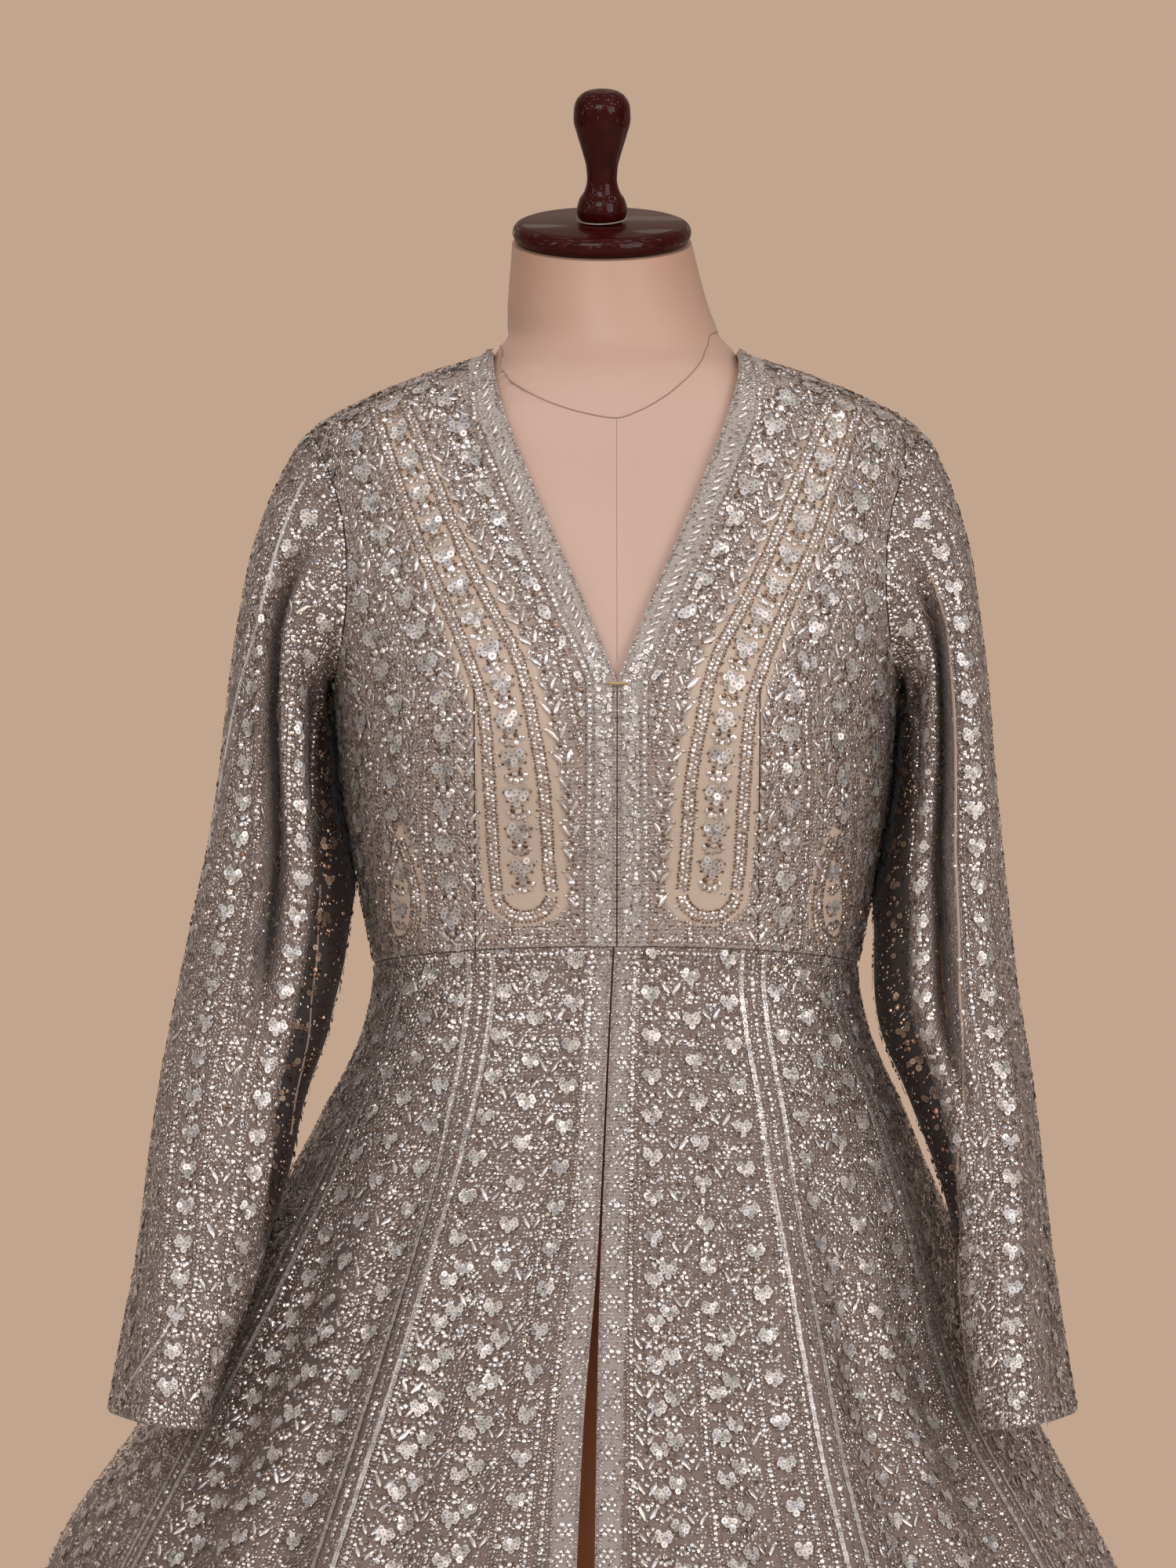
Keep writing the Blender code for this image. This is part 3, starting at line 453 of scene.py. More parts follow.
def shell(name, node, surface, u, v, finishes, held, wrap=False, lift=0.0, wall=WALL, slot="embroidered_cloth",
          tint=(1.0, 1.0, 0.8)):
    """Cloth on a surface: the outer grid, the same grid moved in by the wall, and their edges joined.

    tint tells the material its distance to the front opening and to a loop, and how full it is sewn; on a
    sleeve a first number above 1 marks where shade is painted.
    """
    outer = surface(u, v)
    along_u, along_v = slopes(surface, u, v)
    normal = unit(np.cross(along_u, along_v))
    outer = outer + (lift + wall if lift else 0.0) * normal
    inner = outer - wall * normal
    rows, cols = u.shape
    count = rows * cols
    quads = grid_faces(rows, cols, wrap)
    rim_rows = np.arange(cols if wrap else cols - 1)
    nxt = (rim_rows + 1) % cols
    last = (rows - 1) * cols
    edges = [np.stack([nxt, rim_rows, rim_rows + count, nxt + count], -1),
             np.stack([last + rim_rows, last + nxt, last + nxt + count, last + rim_rows + count], -1)]
    if not wrap:
        down = np.arange(rows - 1) * cols
        edges.append(np.stack([down, down + cols, down + cols + count, down + count], -1))
        side = down + cols - 1
        edges.append(np.stack([side + cols, side, side + count, side + cols + count], -1))
    edges = np.concatenate(edges)
    faces = np.concatenate([quads, quads[:, ::-1] + count, edges])
    across = np.cross(outer[1, 1] - outer[0, 1], outer[0, 1] - outer[0, 0])
    if np.dot(across, normal[0, 1]) > 0:
        faces = faces[:, ::-1]
    index = np.concatenate([np.zeros(len(quads)), np.ones(len(quads)), np.zeros(len(edges))])
    wide, long = lengths(outer, 1), lengths(outer, 0)
    uv = np.stack([wide, long], -1).reshape(-1, 2)
    tint = np.stack([np.broadcast_to(part, u.shape) for part in tint], -1).reshape(-1, 3)
    made = build_mesh(name, np.concatenate([outer.reshape(-1, 3), inner.reshape(-1, 3)]), faces, finishes,
                      index, np.concatenate([uv, uv]), np.concatenate([tint, tint]), soft=60)
    settle(made, node)


# Materials

NET_PITCH = 0.0014      # the net's threads, twice as coarse as real ones so that they show
BEAD_CELL = 0.0023      # pitch of the filler beads that are part of the cloth's material
LOOP_CLEAR = 0.0052, 0.0078     # from where to where the net beside a loop's bead line fills up
STRIP = 0.0142          # width of the pale strip along the front opening
# Dark brown painted shade for the side of a sleeve that faces the dress
PAINTED_SHADE_NET = "#24130B"
FILLER_TONES = "#8C776C", "#F2EBE7"     # the darkest and the palest filler bead
HOLE_TONE = "#8A7C72"
NECK_SHADE_HEIGHTS = 1.40, 1.50  # heights between which the form's colour darkens up the neck as painted shade


def linear(code):
    """An sRGB hex colour as linear red, green, blue and alpha."""
    part = np.array([int(code[k:k + 2], 16) for k in (1, 3, 5)]) / 255
    part = np.where(part > 0.04045, ((part + 0.055) / 1.055) ** 2.4, part / 12.92)
    return (*part.tolist(), 1.0)


def wire(node, inputs):
    """Gives a node's sockets their values or links; a node's outputs stand for the first of them."""
    for name, value in inputs.items():
        if isinstance(value, bpy.types.bpy_prop_collection):
            value = value[0]
        if isinstance(value, bpy.types.NodeSocket):
            node.id_data.links.new(value, node.inputs[name])
        else:
            node.inputs[name].default_value = value


def add(tree, kind, inputs, **settings):
    """Adds one node with its settings, wires it and gives back its outputs."""
    node = tree.nodes.new(kind)
    for name, value in settings.items():
        setattr(node, name, value)
    wire(node, inputs)
    return node.outputs


def surface_finish(name, **sockets):
    """A material with one shader, whose constant values sit on its own sockets."""
    made = bpy.data.materials.new(name)
    made.use_nodes = True
    tree = made.node_tree
    shader = tree.nodes["Principled BSDF"]
    for socket, value in sockets.items():
        shader.inputs[socket.replace("_", " ")].default_value = value
    made.diffuse_color = shader.inputs["Base Color"].default_value
    return made, tree, shader


def net_cloth(name, colour, shade, strip, close):
    """Silk net on a lining, sewn all over with filler beads between the columns.

    Real net has threads every 0.7 mm, drawn here twice as coarse so that they show. The filler beads are
    domes 1.8 mm across in cells of 2.3 mm: silvery, grey and brown by turns. The mesh says in its tint
    how far it is to the front opening, how far to the bead line of a bodice loop, and how full the cloth is
    sewn: the strip along the opening is paler, the loops stay clear, and the ground between close-set beads
    is darkened as painted shade. A first number above 1 marks a sleeve's side that faces the dress, whose
    ground is painted dark brown as painted shade.
    """
    made, tree, shader = surface_finish(name, Base_Color=linear(colour), Sheen_Weight=0.15)
    place = add(tree, "ShaderNodeUVMap", {}, uv_map="UVMap")
    told = add(tree, "ShaderNodeAttribute", {}, attribute_name="tint")["Color"]
    tint = add(tree, "ShaderNodeSeparateColor", {"Color": told})
    fine, cells = (add(tree, "ShaderNodeVectorMath", {0: place, "Scale": 1 / pitch}, operation="SCALE")
                   for pitch in (NET_PITCH, BEAD_CELL))
    weave = add(tree, "ShaderNodeTexChecker", {"Vector": fine, "Scale": 1.0})["Fac"]
    cell = add(tree, "ShaderNodeTexVoronoi", {"Vector": cells, "Scale": 1.0, "Randomness": 0.75},
               voronoi_dimensions="2D")
    lot = add(tree, "ShaderNodeSeparateColor", {"Color": cell["Color"]})
    where = add(tree, "ShaderNodeTexCoord", {})["Object"]
    cloud = add(tree, "ShaderNodeTexNoise", {"Vector": where, "Scale": 9.0, "Detail": 3.0})
    clear = add(tree, "ShaderNodeMapRange", {"Value": tint["Green"], "From Min": LOOP_CLEAR[0],
                                             "From Max": LOOP_CLEAR[1], "To Min": 0.03, "To Max": 1.0})
    # Painted shade: a first tint number above 1 darkens the ground of a sleeve's side that faces the dress
    bare = add(tree, "ShaderNodeMath", {0: tint["Red"], 1: 1.0}, operation="SUBTRACT", use_clamp=True)
    by_slit = add(tree, "ShaderNodeMath", {0: tint["Red"], 1: STRIP}, operation="LESS_THAN")
    ground = linear(colour)
    # Painted shade: the ground turns to close between close-set beads, and to dark brown on a sleeve's side facing
    # the dress
    for share, other in ((cloud, shade), (clear, close), (bare, PAINTED_SHADE_NET), (by_slit, strip)):
        ground = add(tree, "ShaderNodeMixRGB", {"Fac": share, "Color1": ground, "Color2": linear(other)})
    full = add(tree, "ShaderNodeMath", {0: tint["Blue"], 1: clear}, operation="MULTIPLY")
    sewn = add(tree, "ShaderNodeMath", {0: lot["Red"], 1: full}, operation="LESS_THAN")
    near = add(tree, "ShaderNodeMapRange", {"Value": cell["Distance"], "From Min": 0.10, "From Max": 0.42,
                                            "To Min": 1.0, "To Max": 0.0}, interpolation_type="SMOOTHSTEP")
    dome = add(tree, "ShaderNodeMath", {0: near, 1: sewn}, operation="MULTIPLY")
    bead = add(tree, "ShaderNodeMath", {0: dome, 1: 0.12}, operation="GREATER_THAN")
    hue = add(tree, "ShaderNodeMixRGB", {"Fac": lot["Green"], "Color1": linear(FILLER_TONES[0]),
                                         "Color2": linear(FILLER_TONES[1])})
    raised = add(tree, "ShaderNodeMath", {0: weave, 1: 0.12}, operation="MULTIPLY")
    height = add(tree, "ShaderNodeMath", {0: dome, 1: raised}, operation="ADD")
    wire(shader, {
        "Base Color": add(tree, "ShaderNodeMixRGB", {"Fac": bead, "Color1": ground, "Color2": hue}),
        "Roughness": add(tree, "ShaderNodeMapRange", {"Value": bead, "To Min": 0.62, "To Max": 0.20}),
        "Metallic": add(tree, "ShaderNodeMath", {0: bead, 1: 0.85}, operation="MULTIPLY"),
        "Normal": add(tree, "ShaderNodeBump", {"Height": height, "Strength": 0.8, "Distance": 0.0006}),
    })
    return made


def bead_finish(name, colour, hole=0.0, crown=0.0, **sockets):
    """Glass or foil whose colour is multiplied by each bead's own tint.

    A pearl sequin has a dark stitch hole. A cut crystal, seed bead or foil sequin has a flat table with a
    crown that slopes away round it.
    """
    made, tree, shader = surface_finish(name, Base_Color=linear(colour), **sockets)
    tint = add(tree, "ShaderNodeAttribute", {}, attribute_name="tint")["Color"]
    place = add(tree, "ShaderNodeUVMap", {}, uv_map="UVMap")
    out = add(tree, "ShaderNodeVectorMath", {0: place}, operation="LENGTH")["Value"]
    face = linear(colour)
    if hole:
        inside = add(tree, "ShaderNodeMath", {0: out, 1: hole}, operation="LESS_THAN")
        face = add(tree, "ShaderNodeMixRGB", {"Fac": inside, "Color1": face, "Color2": linear(HOLE_TONE)})
    if crown:
        cut = add(tree, "ShaderNodeMapRange", {"Value": out, "From Min": 0.20, "From Max": 0.50,
                                               "To Min": 1.0, "To Max": 0.0})
        wire(shader, {"Normal": add(tree, "ShaderNodeBump", {"Height": cut, "Strength": 1.0, "Distance": crown})})
    wire(shader, {"Base Color": add(tree, "ShaderNodeMixRGB", {"Fac": 1.0, "Color1": face, "Color2": tint},
                                    blend_type="MULTIPLY")})
    return made


# Net over a lining: a fine soft weave, close with small beads
# The last colour of each net is its ground between close-set beads, darkened as painted shade
TAUPE_NET = net_cloth("taupe_silk_net", "#806C65", "#725F57", "#9A8B85", "#78645C")
NUDE_NET = net_cloth("nude_silk_net", "#C9B2A1", "#BFA796", "#C9B2A1", "#A08B80")
# Foil behind cut glass: a hard bright glint from the table, a darker crown round it
CRYSTAL = bead_finish("foiled_glass_crystal", "#F6EEEA", crown=0.0004, Metallic=0.9, Roughness=0.18)
# Silver inside a small glass bead: a soft warm glint
SEED = bead_finish("silver_lined_seed_bead", "#D0BDB3", crown=0.0005, Metallic=0.85, Roughness=0.22)
# Pearly plastic: a milky sheen with the dark dot of its stitch
PEARL = bead_finish("pearl_sequin", "#D3CDC9", hole=0.13, Metallic=0.45, Roughness=0.30)
# Stamped foil, silvered or brown like old gold: a broad dull shine
SILVER = bead_finish("silver_sequin", "#E4DDD9", crown=0.0004, Metallic=0.8, Roughness=0.30)
GOLD = bead_finish("antique_gold_sequin", "#967B66", crown=0.0005, Metallic=0.85, Roughness=0.30)
BEAD_FINISHES = (CRYSTAL, SEED, PEARL, SILVER, GOLD)
FOILED, LINED, PEARLY, SILVERY, BROWN = range(5)    # their numbers, as the motifs use them


def streaks(tree, scale, detail):
    """Noise drawn out along a piece or round it: its share at each place in the piece's own metres."""
    where = add(tree, "ShaderNodeMapping", {"Vector": add(tree, "ShaderNodeTexCoord", {})["Object"], "Scale": scale})
    return add(tree, "ShaderNodeTexNoise", {"Vector": where, "Scale": 1.0, "Detail": detail})


def lacquer_finish():
    """Mahogany turned and lacquered: dark red wood, streaked along its height, under a clear gloss coat."""
    made, tree, shader = surface_finish("mahogany_lacquer", Roughness=0.35, Specular_IOR_Level=0.04,
                                        Coat_Weight=0.28, Coat_Roughness=0.02)
    grain = streaks(tree, (160.0, 160.0, 14.0), 4.0)
    wire(shader, {"Base Color": add(tree, "ShaderNodeMixRGB", {"Fac": grain, "Color1": linear("#170202"),
                                                               "Color2": linear("#480C05")})})
    return made


def cover_finish(name, colour, shade, roughness=0.45, top=None):
    """Smooth knitted or spun cover: faintly blotched by use, with a soft shine and a fine knit.

    Where top is given, the colour darkens to it up the neck as painted shade, for a neck that is less lit under the
    cap.
    """
    made, tree, shader = surface_finish(name, Roughness=roughness, Coat_Weight=0.12, Coat_Roughness=0.35)
    where = add(tree, "ShaderNodeTexCoord", {})["Object"]
    cloud = add(tree, "ShaderNodeTexNoise", {"Vector": where, "Scale": 11.0, "Detail": 3.0})
    tone = add(tree, "ShaderNodeMixRGB", {"Fac": cloud, "Color1": linear(colour), "Color2": linear(shade)})
    # Painted shade: darker up the neck
    if top:
        height = add(tree, "ShaderNodeSeparateXYZ", {"Vector": where})["Z"]
        up = add(tree, "ShaderNodeMapRange", {"Value": height, "From Min": NECK_SHADE_HEIGHTS[0], "From Max": NECK_SHADE_HEIGHTS[1]})
        tone = add(tree, "ShaderNodeMixRGB", {"Fac": up, "Color1": tone, "Color2": linear(top)})
    knit = add(tree, "ShaderNodeTexNoise", {"Vector": where, "Scale": 2200.0, "Detail": 1.0})
    wire(shader, {"Base Color": tone,
                  "Normal": add(tree, "ShaderNodeBump", {"Height": knit, "Strength": 0.05, "Distance": 0.0002})})
    return made


def steel_finish():
    """Drawn steel tube, chromed: a cool mirror with fine scratches round it that make its gloss uneven."""
    made, tree, shader = surface_finish("stand_steel", Base_Color=linear("#A3A19D"), Metallic=1.0)
    scratch = streaks(tree, (30.0, 30.0, 900.0), 2.0)
    wire(shader, {"Roughness": add(tree, "ShaderNodeMapRange", {"Value": scratch, "To Min": 0.18, "To Max": 0.42})})
    return made


LACQUER = lacquer_finish()
# Knitted cotton on the form, satin inside the cloth, beaded ground of the border
# The form's cover darkens up its neck as painted shade
COVER = cover_finish("form_cover", "#C9A899", "#C29F8E", top="#BB927B")
LINING = cover_finish("tan_satin_lining", "#D9A878", "#C79566", roughness=0.5)
# Its last colour is the ground between close-set beads, darkened as painted shade
BAND = net_cloth("border_ground", "#B5A8A0", "#A2948C", "#B5A8A0", "#A99C94")
# Woven tape, metal thread, sewing thread, piping and ribbon: matt but for the metal and the satin
TAPE = cover_finish("form_tape", "#A88A7B", "#9C7D6E", roughness=0.6)
GOLD_THREAD = cover_finish("gold_thread", "#C4A87C", "#9C8058", roughness=0.4)
SEAM_THREAD = cover_finish("brown_seam_thread", "#4E3B31", "#3E2E26", roughness=0.8)
PIPING = cover_finish("tan_piping", "#B39B89", "#97806F", roughness=0.6)
SATIN = cover_finish("silver_satin_ribbon", "#C9C2BE", "#B3ABA6", roughness=0.3)
WHITE_THREAD = cover_finish("white_cotton_thread", "#A3978E", "#857A72", roughness=0.8)
STEEL = steel_finish()
# Painted boards, matt
FLOOR = cover_finish("floor", "#CFC6BC", "#C8BEB3", roughness=0.8)


# Cloth: the cut, with the same formulas as the solids and more points

WAIST_ROW = 5 / 14      # share of the bodice's rows that lies below the armhole
NECK_ROW_POWER = 1.6
BACK_ROW_POWER = 1.25
BACK_NECK_POWER = 2.2   # how late the back neckline rises to the shoulder
NECK_SHARE = 10 / 22    # share of the back's width that the neck takes
LAST_ROW = 13 / 14
PANEL_ROW_POWER = 1.15  # how much closer the skirt's rows lie at the waist
# How full the skirt is sewn with filler beads: below, at the waist, and from what height over how much
SEWN_LOW, SEWN_HIGH, SEWN_FROM, SEWN_OVER = 0.50, 0.92, 0.80, 0.22
# The side of a sleeve that faces the dress, darkened there as painted shade and sewn with fewer beads: middle
# and half width in degrees, how far its edge fades in degrees, and where it ends before the cuff and over how much,
# as shares of the sleeve
HIDDEN_AT, HIDDEN_HALF, HIDDEN_FADE = 190, 43, 10
HIDDEN_END, HIDDEN_OVER = 0.96, 0.2


def bodice_rows(q):
    """Inner height, outer turn and outer height of the bodice at row share q, from waist to shoulder."""
    low, high = q / WAIST_ROW, (q - WAIST_ROW) / (1 - WAIST_ROW)
    below = q < WAIST_ROW
    waist_in, waist_out = waist_height(0.0) + WAIST_GAP / 2, waist_height(np.pi / 2) + WAIST_GAP / 2
    climb = 1 - (1 - np.clip(high, 0, 1)) ** NECK_ROW_POWER
    inner = np.where(below, waist_in + (NECK_V - waist_in) * low, NECK_V + (NECK_POINT - NECK_V) * climb)
    arm_turn, arm_z = armhole(np.pi * (1 - np.clip(high, 0, 1)))
    outer_turn = np.where(below, np.pi / 2, arm_turn)
    outer_z = np.where(below, waist_out + (UNDERARM - waist_out) * low, arm_z)
    return inner, outer_turn - SEAM_TURN, outer_z


def neck_turn_at(z):
    """Turn of the front edge of the cloth at a height."""
    half = np.where(z > NECK_V, NECK.at("half", z), NECK.rows[0, 1])
    return np.minimum(turn_of(half, z), np.pi / 2 - SEAM_TURN)


def front_grid(side, q, share, border=False):
    """Turn and height over a bodice front; border keeps to the strip along its front edge."""
    inner_z, outer_turn, outer_z = bodice_rows(q)
    inner_turn = neck_turn_at(inner_z)
    span = np.linalg.norm(body(inner_turn, inner_z) - body(outer_turn, outer_z), axis=-1)
    first = (BORDER_WIDTH / span)[:, None]
    share = share[None, :] * first if border else share[None, :] + 0 * first
    turn = inner_turn[:, None] * (1 - share) + outer_turn[:, None] * share
    z = inner_z[:, None] * (1 - share) + outer_z[:, None] * share
    z = z + SHOULDER_CROWN * q[:, None] ** 6 * 4 * share * (1 - share)
    bottom = waist_height(turn) + WAIST_GAP / 2
    fade = np.clip(1 - (z - z[:1]) / (NECK_V - WAIST_SIDE), 0, 1)
    z = z + (bottom - z)[:1] * fade
    return side * turn, z


def back_grid(q, share):
    """Turn and height over the back, from one side seam to the other."""
    _, outer_turn, outer_z = bodice_rows(q)
    last_turn = bodice_rows(np.ones(1))[1]
    size = np.abs(share)
    in_neck = size <= NECK_SHARE + 1e-6
    waist_back = waist_height(np.pi) + WAIST_GAP / 2
    centre_z = waist_back + (BACK_NECK - waist_back) * (1 - (1 - q) ** BACK_ROW_POWER)
    out = np.sin(np.pi / 2 * np.clip(size / NECK_SHARE, 0, 1))
    neck_z = BACK_NECK + (NECK_POINT - BACK_NECK) * out ** BACK_NECK_POWER
    neck_turn = turn_of(NECK_HALF * out, neck_z)
    seam_share = np.clip((size - NECK_SHARE) / (1 - NECK_SHARE), 0, 1)
    crown = SHOULDER_CROWN * 4 * seam_share * (1 - seam_share)
    seam_z = NECK_POINT + (SHOULDER - NECK_POINT) * seam_share + crown
    top_turn = np.where(in_neck, np.minimum(neck_turn, last_turn), last_turn)
    top_z = np.where(in_neck, neck_z, seam_z)
    near_top = q[:, None] ** 5
    outer_turn = outer_turn[:, None]
    turn = outer_turn * (size * (1 - near_top) + top_turn / last_turn * near_top)
    plain = centre_z[:, None] * (1 - size ** 2) + outer_z[:, None] * size ** 2
    top_plain = BACK_NECK * (1 - size ** 2) + SHOULDER * size ** 2
    z = plain + near_top * (top_z - top_plain)
    return np.pi - np.sign(share) * turn, z


def panel_edges(k, z):
    """Turns of both edges of skirt panel k at a height; the first and last edges leave the front open."""
    width = BODY.at("width", z)
    middle = SLIT.at("middle", z) - BODY.at("centre", z)
    gap = SLIT.at("half", z)
    first = (middle + gap) / width if k == 0 else 2 * np.pi * k / SKIRT_PANELS + SEAM / 2 / width
    last = 2 * np.pi * (k + 1) / SKIRT_PANELS - SEAM / 2 / width
    if k == SKIRT_PANELS - 1:
        last = 2 * np.pi + (middle - gap) / width
    return first, last


def panel_grid(k, down, across):
    """Turn and height over skirt panel k, from waist to hem and from edge to edge."""
    turn = 2 * np.pi * (k + across[None, :]) / SKIRT_PANELS + 0 * down[:, None]
    for _ in range(3):
        top = waist_height(turn) - WAIST_GAP / 2
        z = top + (HEM - top) * down[:, None]
        first, last = panel_edges(k, z)
        turn = first * (1 - across[None, :]) + last * across[None, :]
    return np.where(turn > np.pi, turn - 2 * np.pi, turn), z


def off_loop(turn, z):
    """Rough distance from the bead line round a bodice loop: negative inside the loop, positive outside."""
    middle, half = LOOP.at("middle half", z)
    off = (turn - turn_of(middle, z, NEARLY)) * BODY.at("width", z) * LOOP_FLAT
    below = np.clip(LOOP_FOOT - z, 0, 1)
    return np.hypot(off, below * half / LOOP_ROUND) - half + np.where(z > LOOP_TOP, 1.0, 0.0)


def drop_turn(off, z):
    """The turn at a distance beside the middle of the drop motif, at a height."""
    return turn_of(DROP_X, z) + off / (DROP_FLAT * BODY.at("width", z))


def drop_half(rise):
    """Half width of the drop at a share of its half height, from -1 at the round foot to 1 at the tip."""
    angle = np.arccos(np.clip(rise, -1, 1))
    return DROP_HALF * np.sin(angle) * np.sin(angle / 2) ** DROP_POINT


def off_drop(turn, z):
    """Rough distance from the outline of the drop: negative inside, positive outside."""
    width = BODY.at("width", z)
    off = np.abs(turn - drop_turn(0.0, z)) * width * DROP_FLAT
    rise = (z - DROP_Z) / DROP_TALL
    return np.where(np.abs(rise) < 1, off - drop_half(rise), np.hypot(off, (np.abs(rise) - 1) * DROP_TALL))


def build_bodice():
    """Two fronts and a back on nude net, and the borders along the neck and centre front."""
    q = np.concatenate([np.linspace(0, WAIST_ROW, 19)[:-1], np.linspace(WAIST_ROW, 1, 37)])
    cloth, border = (NUDE_NET, LINING), (BAND, BAND)
    lifted = {"lift": BORDER_LIFT, "wall": BORDER_WALL, "slot": "sequin_border"}
    for side, word in ((-1, "left"), (1, "right")):
        turn, z = front_grid(side, q, np.linspace(0, 1, 45))
        clear = np.minimum(off_loop(side * turn, z), off_drop(side * turn, z))
        shell(f"cloth_front_{word}", f"bodice_front_{word}", body, turn, z, cloth, "stretched",
              tint=(1.0, clear, 0.95))
        turn, z = front_grid(side, q, np.linspace(0, 1, 6), border=True)
        shell(f"band_{word}", f"border_{word}", body, turn, z, border, "stretched", **lifted)
    turn, z = back_grid(q, np.linspace(-1, 1, 89))
    shell("cloth_back", "bodice_back", body, turn, z, cloth, "stretched",
          tint=(1.0, off_loop(np.abs(wrapped(turn - np.pi)), z), 0.95))
    turn, z = back_grid(np.array([LAST_ROW, 1.0]), np.linspace(-NECK_SHARE, NECK_SHARE, 41))
    gap = np.linalg.norm(body(turn[1], z[1]) - body(turn[0], z[0]), axis=-1)
    down = np.linspace(1, 0, 5)[:, None] * np.minimum(BORDER_WIDTH / gap, 0.8)
    shell("band_back", "border_back", body, turn[1] + (turn[0] - turn[1]) * down,
          z[1] + (z[0] - z[1]) * down, border, "stretched", **lifted)


def build_skirt():
    """Twelve flared panels that hang from the waist seam, with their inner face in tan satin."""
    down = np.linspace(0, 1, 55) ** PANEL_ROW_POWER
    for k in range(SKIRT_PANELS):
        turn, z = panel_grid(k, down, np.linspace(0, 1, 25))
        run = lengths(body(turn, z), 1)
        to_slit = run if k == 0 else run[:, -1:] - run if k == SKIRT_PANELS - 1 else 1.0
        full = SEWN_LOW + (SEWN_HIGH - SEWN_LOW) * ramp((z - SEWN_FROM) / SEWN_OVER)
        shell(f"cloth_skirt_{k + 1:02d}", f"skirt_panel_{k + 1:02d}", body, turn, z, (TAUPE_NET, LINING), "hung",
              tint=(to_slit, 1.0, full))


def build_sleeves():
    """Set-in sleeves, each one tube from the armhole to the cuff."""
    along = np.linspace(0, 1, 69)[:, None]
    angle = np.arange(112)[None, :] * 2 * np.pi / 112
    for surface, word in ((sleeve_left, "left"), (sleeve_right, "right")):
        u, v = np.broadcast_arrays(angle, along)
        # Painted shade on the side that faces the dress, where fewer fillers are also sewn
        dark = 1 + underarm(u if word == "right" else -u, v)
        shell(f"cloth_sleeve_{word}", f"sleeve_{word}", surface, u, v, (TAUPE_NET, LINING), "hung", wrap=True,
              tint=(dark, 1.0, 0.86 - 0.74 * (dark - 1)))


def underarm(angle, along):
    """1 on the side of a sleeve that faces the dress, 0 on the rest: there the ground and beads are darkened as
    painted shade, and few beads are sewn.
    """
    off = np.abs(wrapped(np.degrees(angle) - HIDDEN_AT, 180))
    return ramp((HIDDEN_HALF - off) / HIDDEN_FADE) * ramp((HIDDEN_END - along) / HIDDEN_OVER)


# Beadwork: shapes of one bead, x across, y ahead and z out of the cloth, each 1 wide

def disc(sides):
    """A flat plate, as a fan from its first corner."""
    angle = 2 * np.pi * np.arange(sides) / sides
    k = np.arange(1, sides - 1)
    corners = np.stack([0.5 * np.cos(angle), 0.5 * np.sin(angle), 0 * angle + 1], -1)
    return corners, np.stack([0 * k, k, k + 1], -1)


LEAF_SHAPE = (np.array([(-0.2, -0.5, 1), (0.2, -0.5, 1), (0.5, 0, 1), (0.2, 0.5, 1), (-0.2, 0.5, 1), (-0.5, 0, 1)]),
              np.array([(0, 1, 2), (0, 2, 3), (0, 3, 4), (0, 4, 5)]))
TILE_SHAPE = (np.array([(-0.5, -0.5, 0.4), (0.5, -0.5, 0.4), (0.5, 0.5, 1), (-0.5, 0.5, 1)]),
              np.array([(0, 1, 2), (0, 2, 3)]))
SHAPES = {"crystal": disc(6), "seed": disc(4), "sequin": disc(6), "leaf": LEAF_SHAPE, "tile": TILE_SHAPE}
TILTS = np.array([0.27, 0.27, 0.15, 0.15, 0.04])    # how unevenly each of them lies on the cloth
ROUND_SHAPES = 2        # the first two are round, so each is set at any turn


# Motifs, each a list of beads in the order in which they are sewn

def bead(shape, finish, across, ahead, width, height, length=None, spin=0):
    """One bead of a motif in millimetres: shape, finish, place across and ahead, sizes and turn in degrees."""
    return shape, finish, across, ahead, (width, length or width, height), spin


def heart():
    """Eleven overlapping sequins, two lobes behind and the point ahead, edged with seed beads."""
    places = [(-3.0, -3.3), (3.0, -3.3), (-4.1, -1.0), (4.1, -1.0), (-1.4, -1.6), (1.4, -1.6), (-2.8, 1.3),
              (2.8, 1.3), (0.0, 1.0), (0.0, 4.1), (0.0, 2.6)]
    edge = [(-6.3, -1.8), (-5.2, 2.2), (-2.7, 4.8), (2.7, 4.8), (5.2, 2.2), (6.3, -1.8)]
    return ([bead("sequin", PEARLY, x, y, 3.9, 0.7) for x, y in places]
            + [bead("seed", BROWN, x, y, 1.8, 0.6) for x, y in edge])


def crescent():
    """Crystals in a shallow smile round a larger one."""
    arc = np.radians([-62, -31, 0, 31, 62])
    rows = [bead("crystal", FOILED, 5.4 * np.sin(a), 5.4 * np.cos(a) - 3.0, 2.9, 0.55) for a in arc]
    rows += [bead("crystal", FOILED, 0, -1.3, 3.5, 0.65)]
    return rows + [bead("crystal", BROWN, side * 2.7, -1.9, 2.5, 0.6) for side in (-1, 1)]


def leaf_pair():
    """Two faceted leaves that meet ahead, with crystals between them."""
    rows = [bead("leaf", SILVERY, side * 3.3, 0.6, 2.6, 0.8, 7.2, side * 32) for side in (-1, 1)]
    rows += [bead("crystal", FOILED, 0, -2.2, 2.8, 0.6), bead("crystal", FOILED, -2.6, -5.2, 2.5, 0.5),
             bead("crystal", FOILED, 2.6, -5.2, 2.5, 0.5), bead("crystal", BROWN, 0, -6.9, 2.3, 0.5)]
    rows += [bead("crystal", FOILED, side * 6.0, -3.6, 2.2, 0.5) for side in (-1, 1)]
    return rows + [bead("seed", BROWN, 0, 3.9, 1.8, 0.6)]


def rosette():
    """A crystal with six round it and two behind."""
    around = 2 * np.pi * np.arange(6) / 6
    rows = [bead("crystal", FOILED, 3.5 * np.cos(a), 3.3 * np.sin(a), 2.7, 0.5) for a in around]
    rows += [bead("crystal", FOILED, side * 3.9, 5.2, 2.3, 0.5) for side in (-1, 1)]
    return rows + [bead("crystal", FOILED, 0, 0, 3.2, 0.6)]


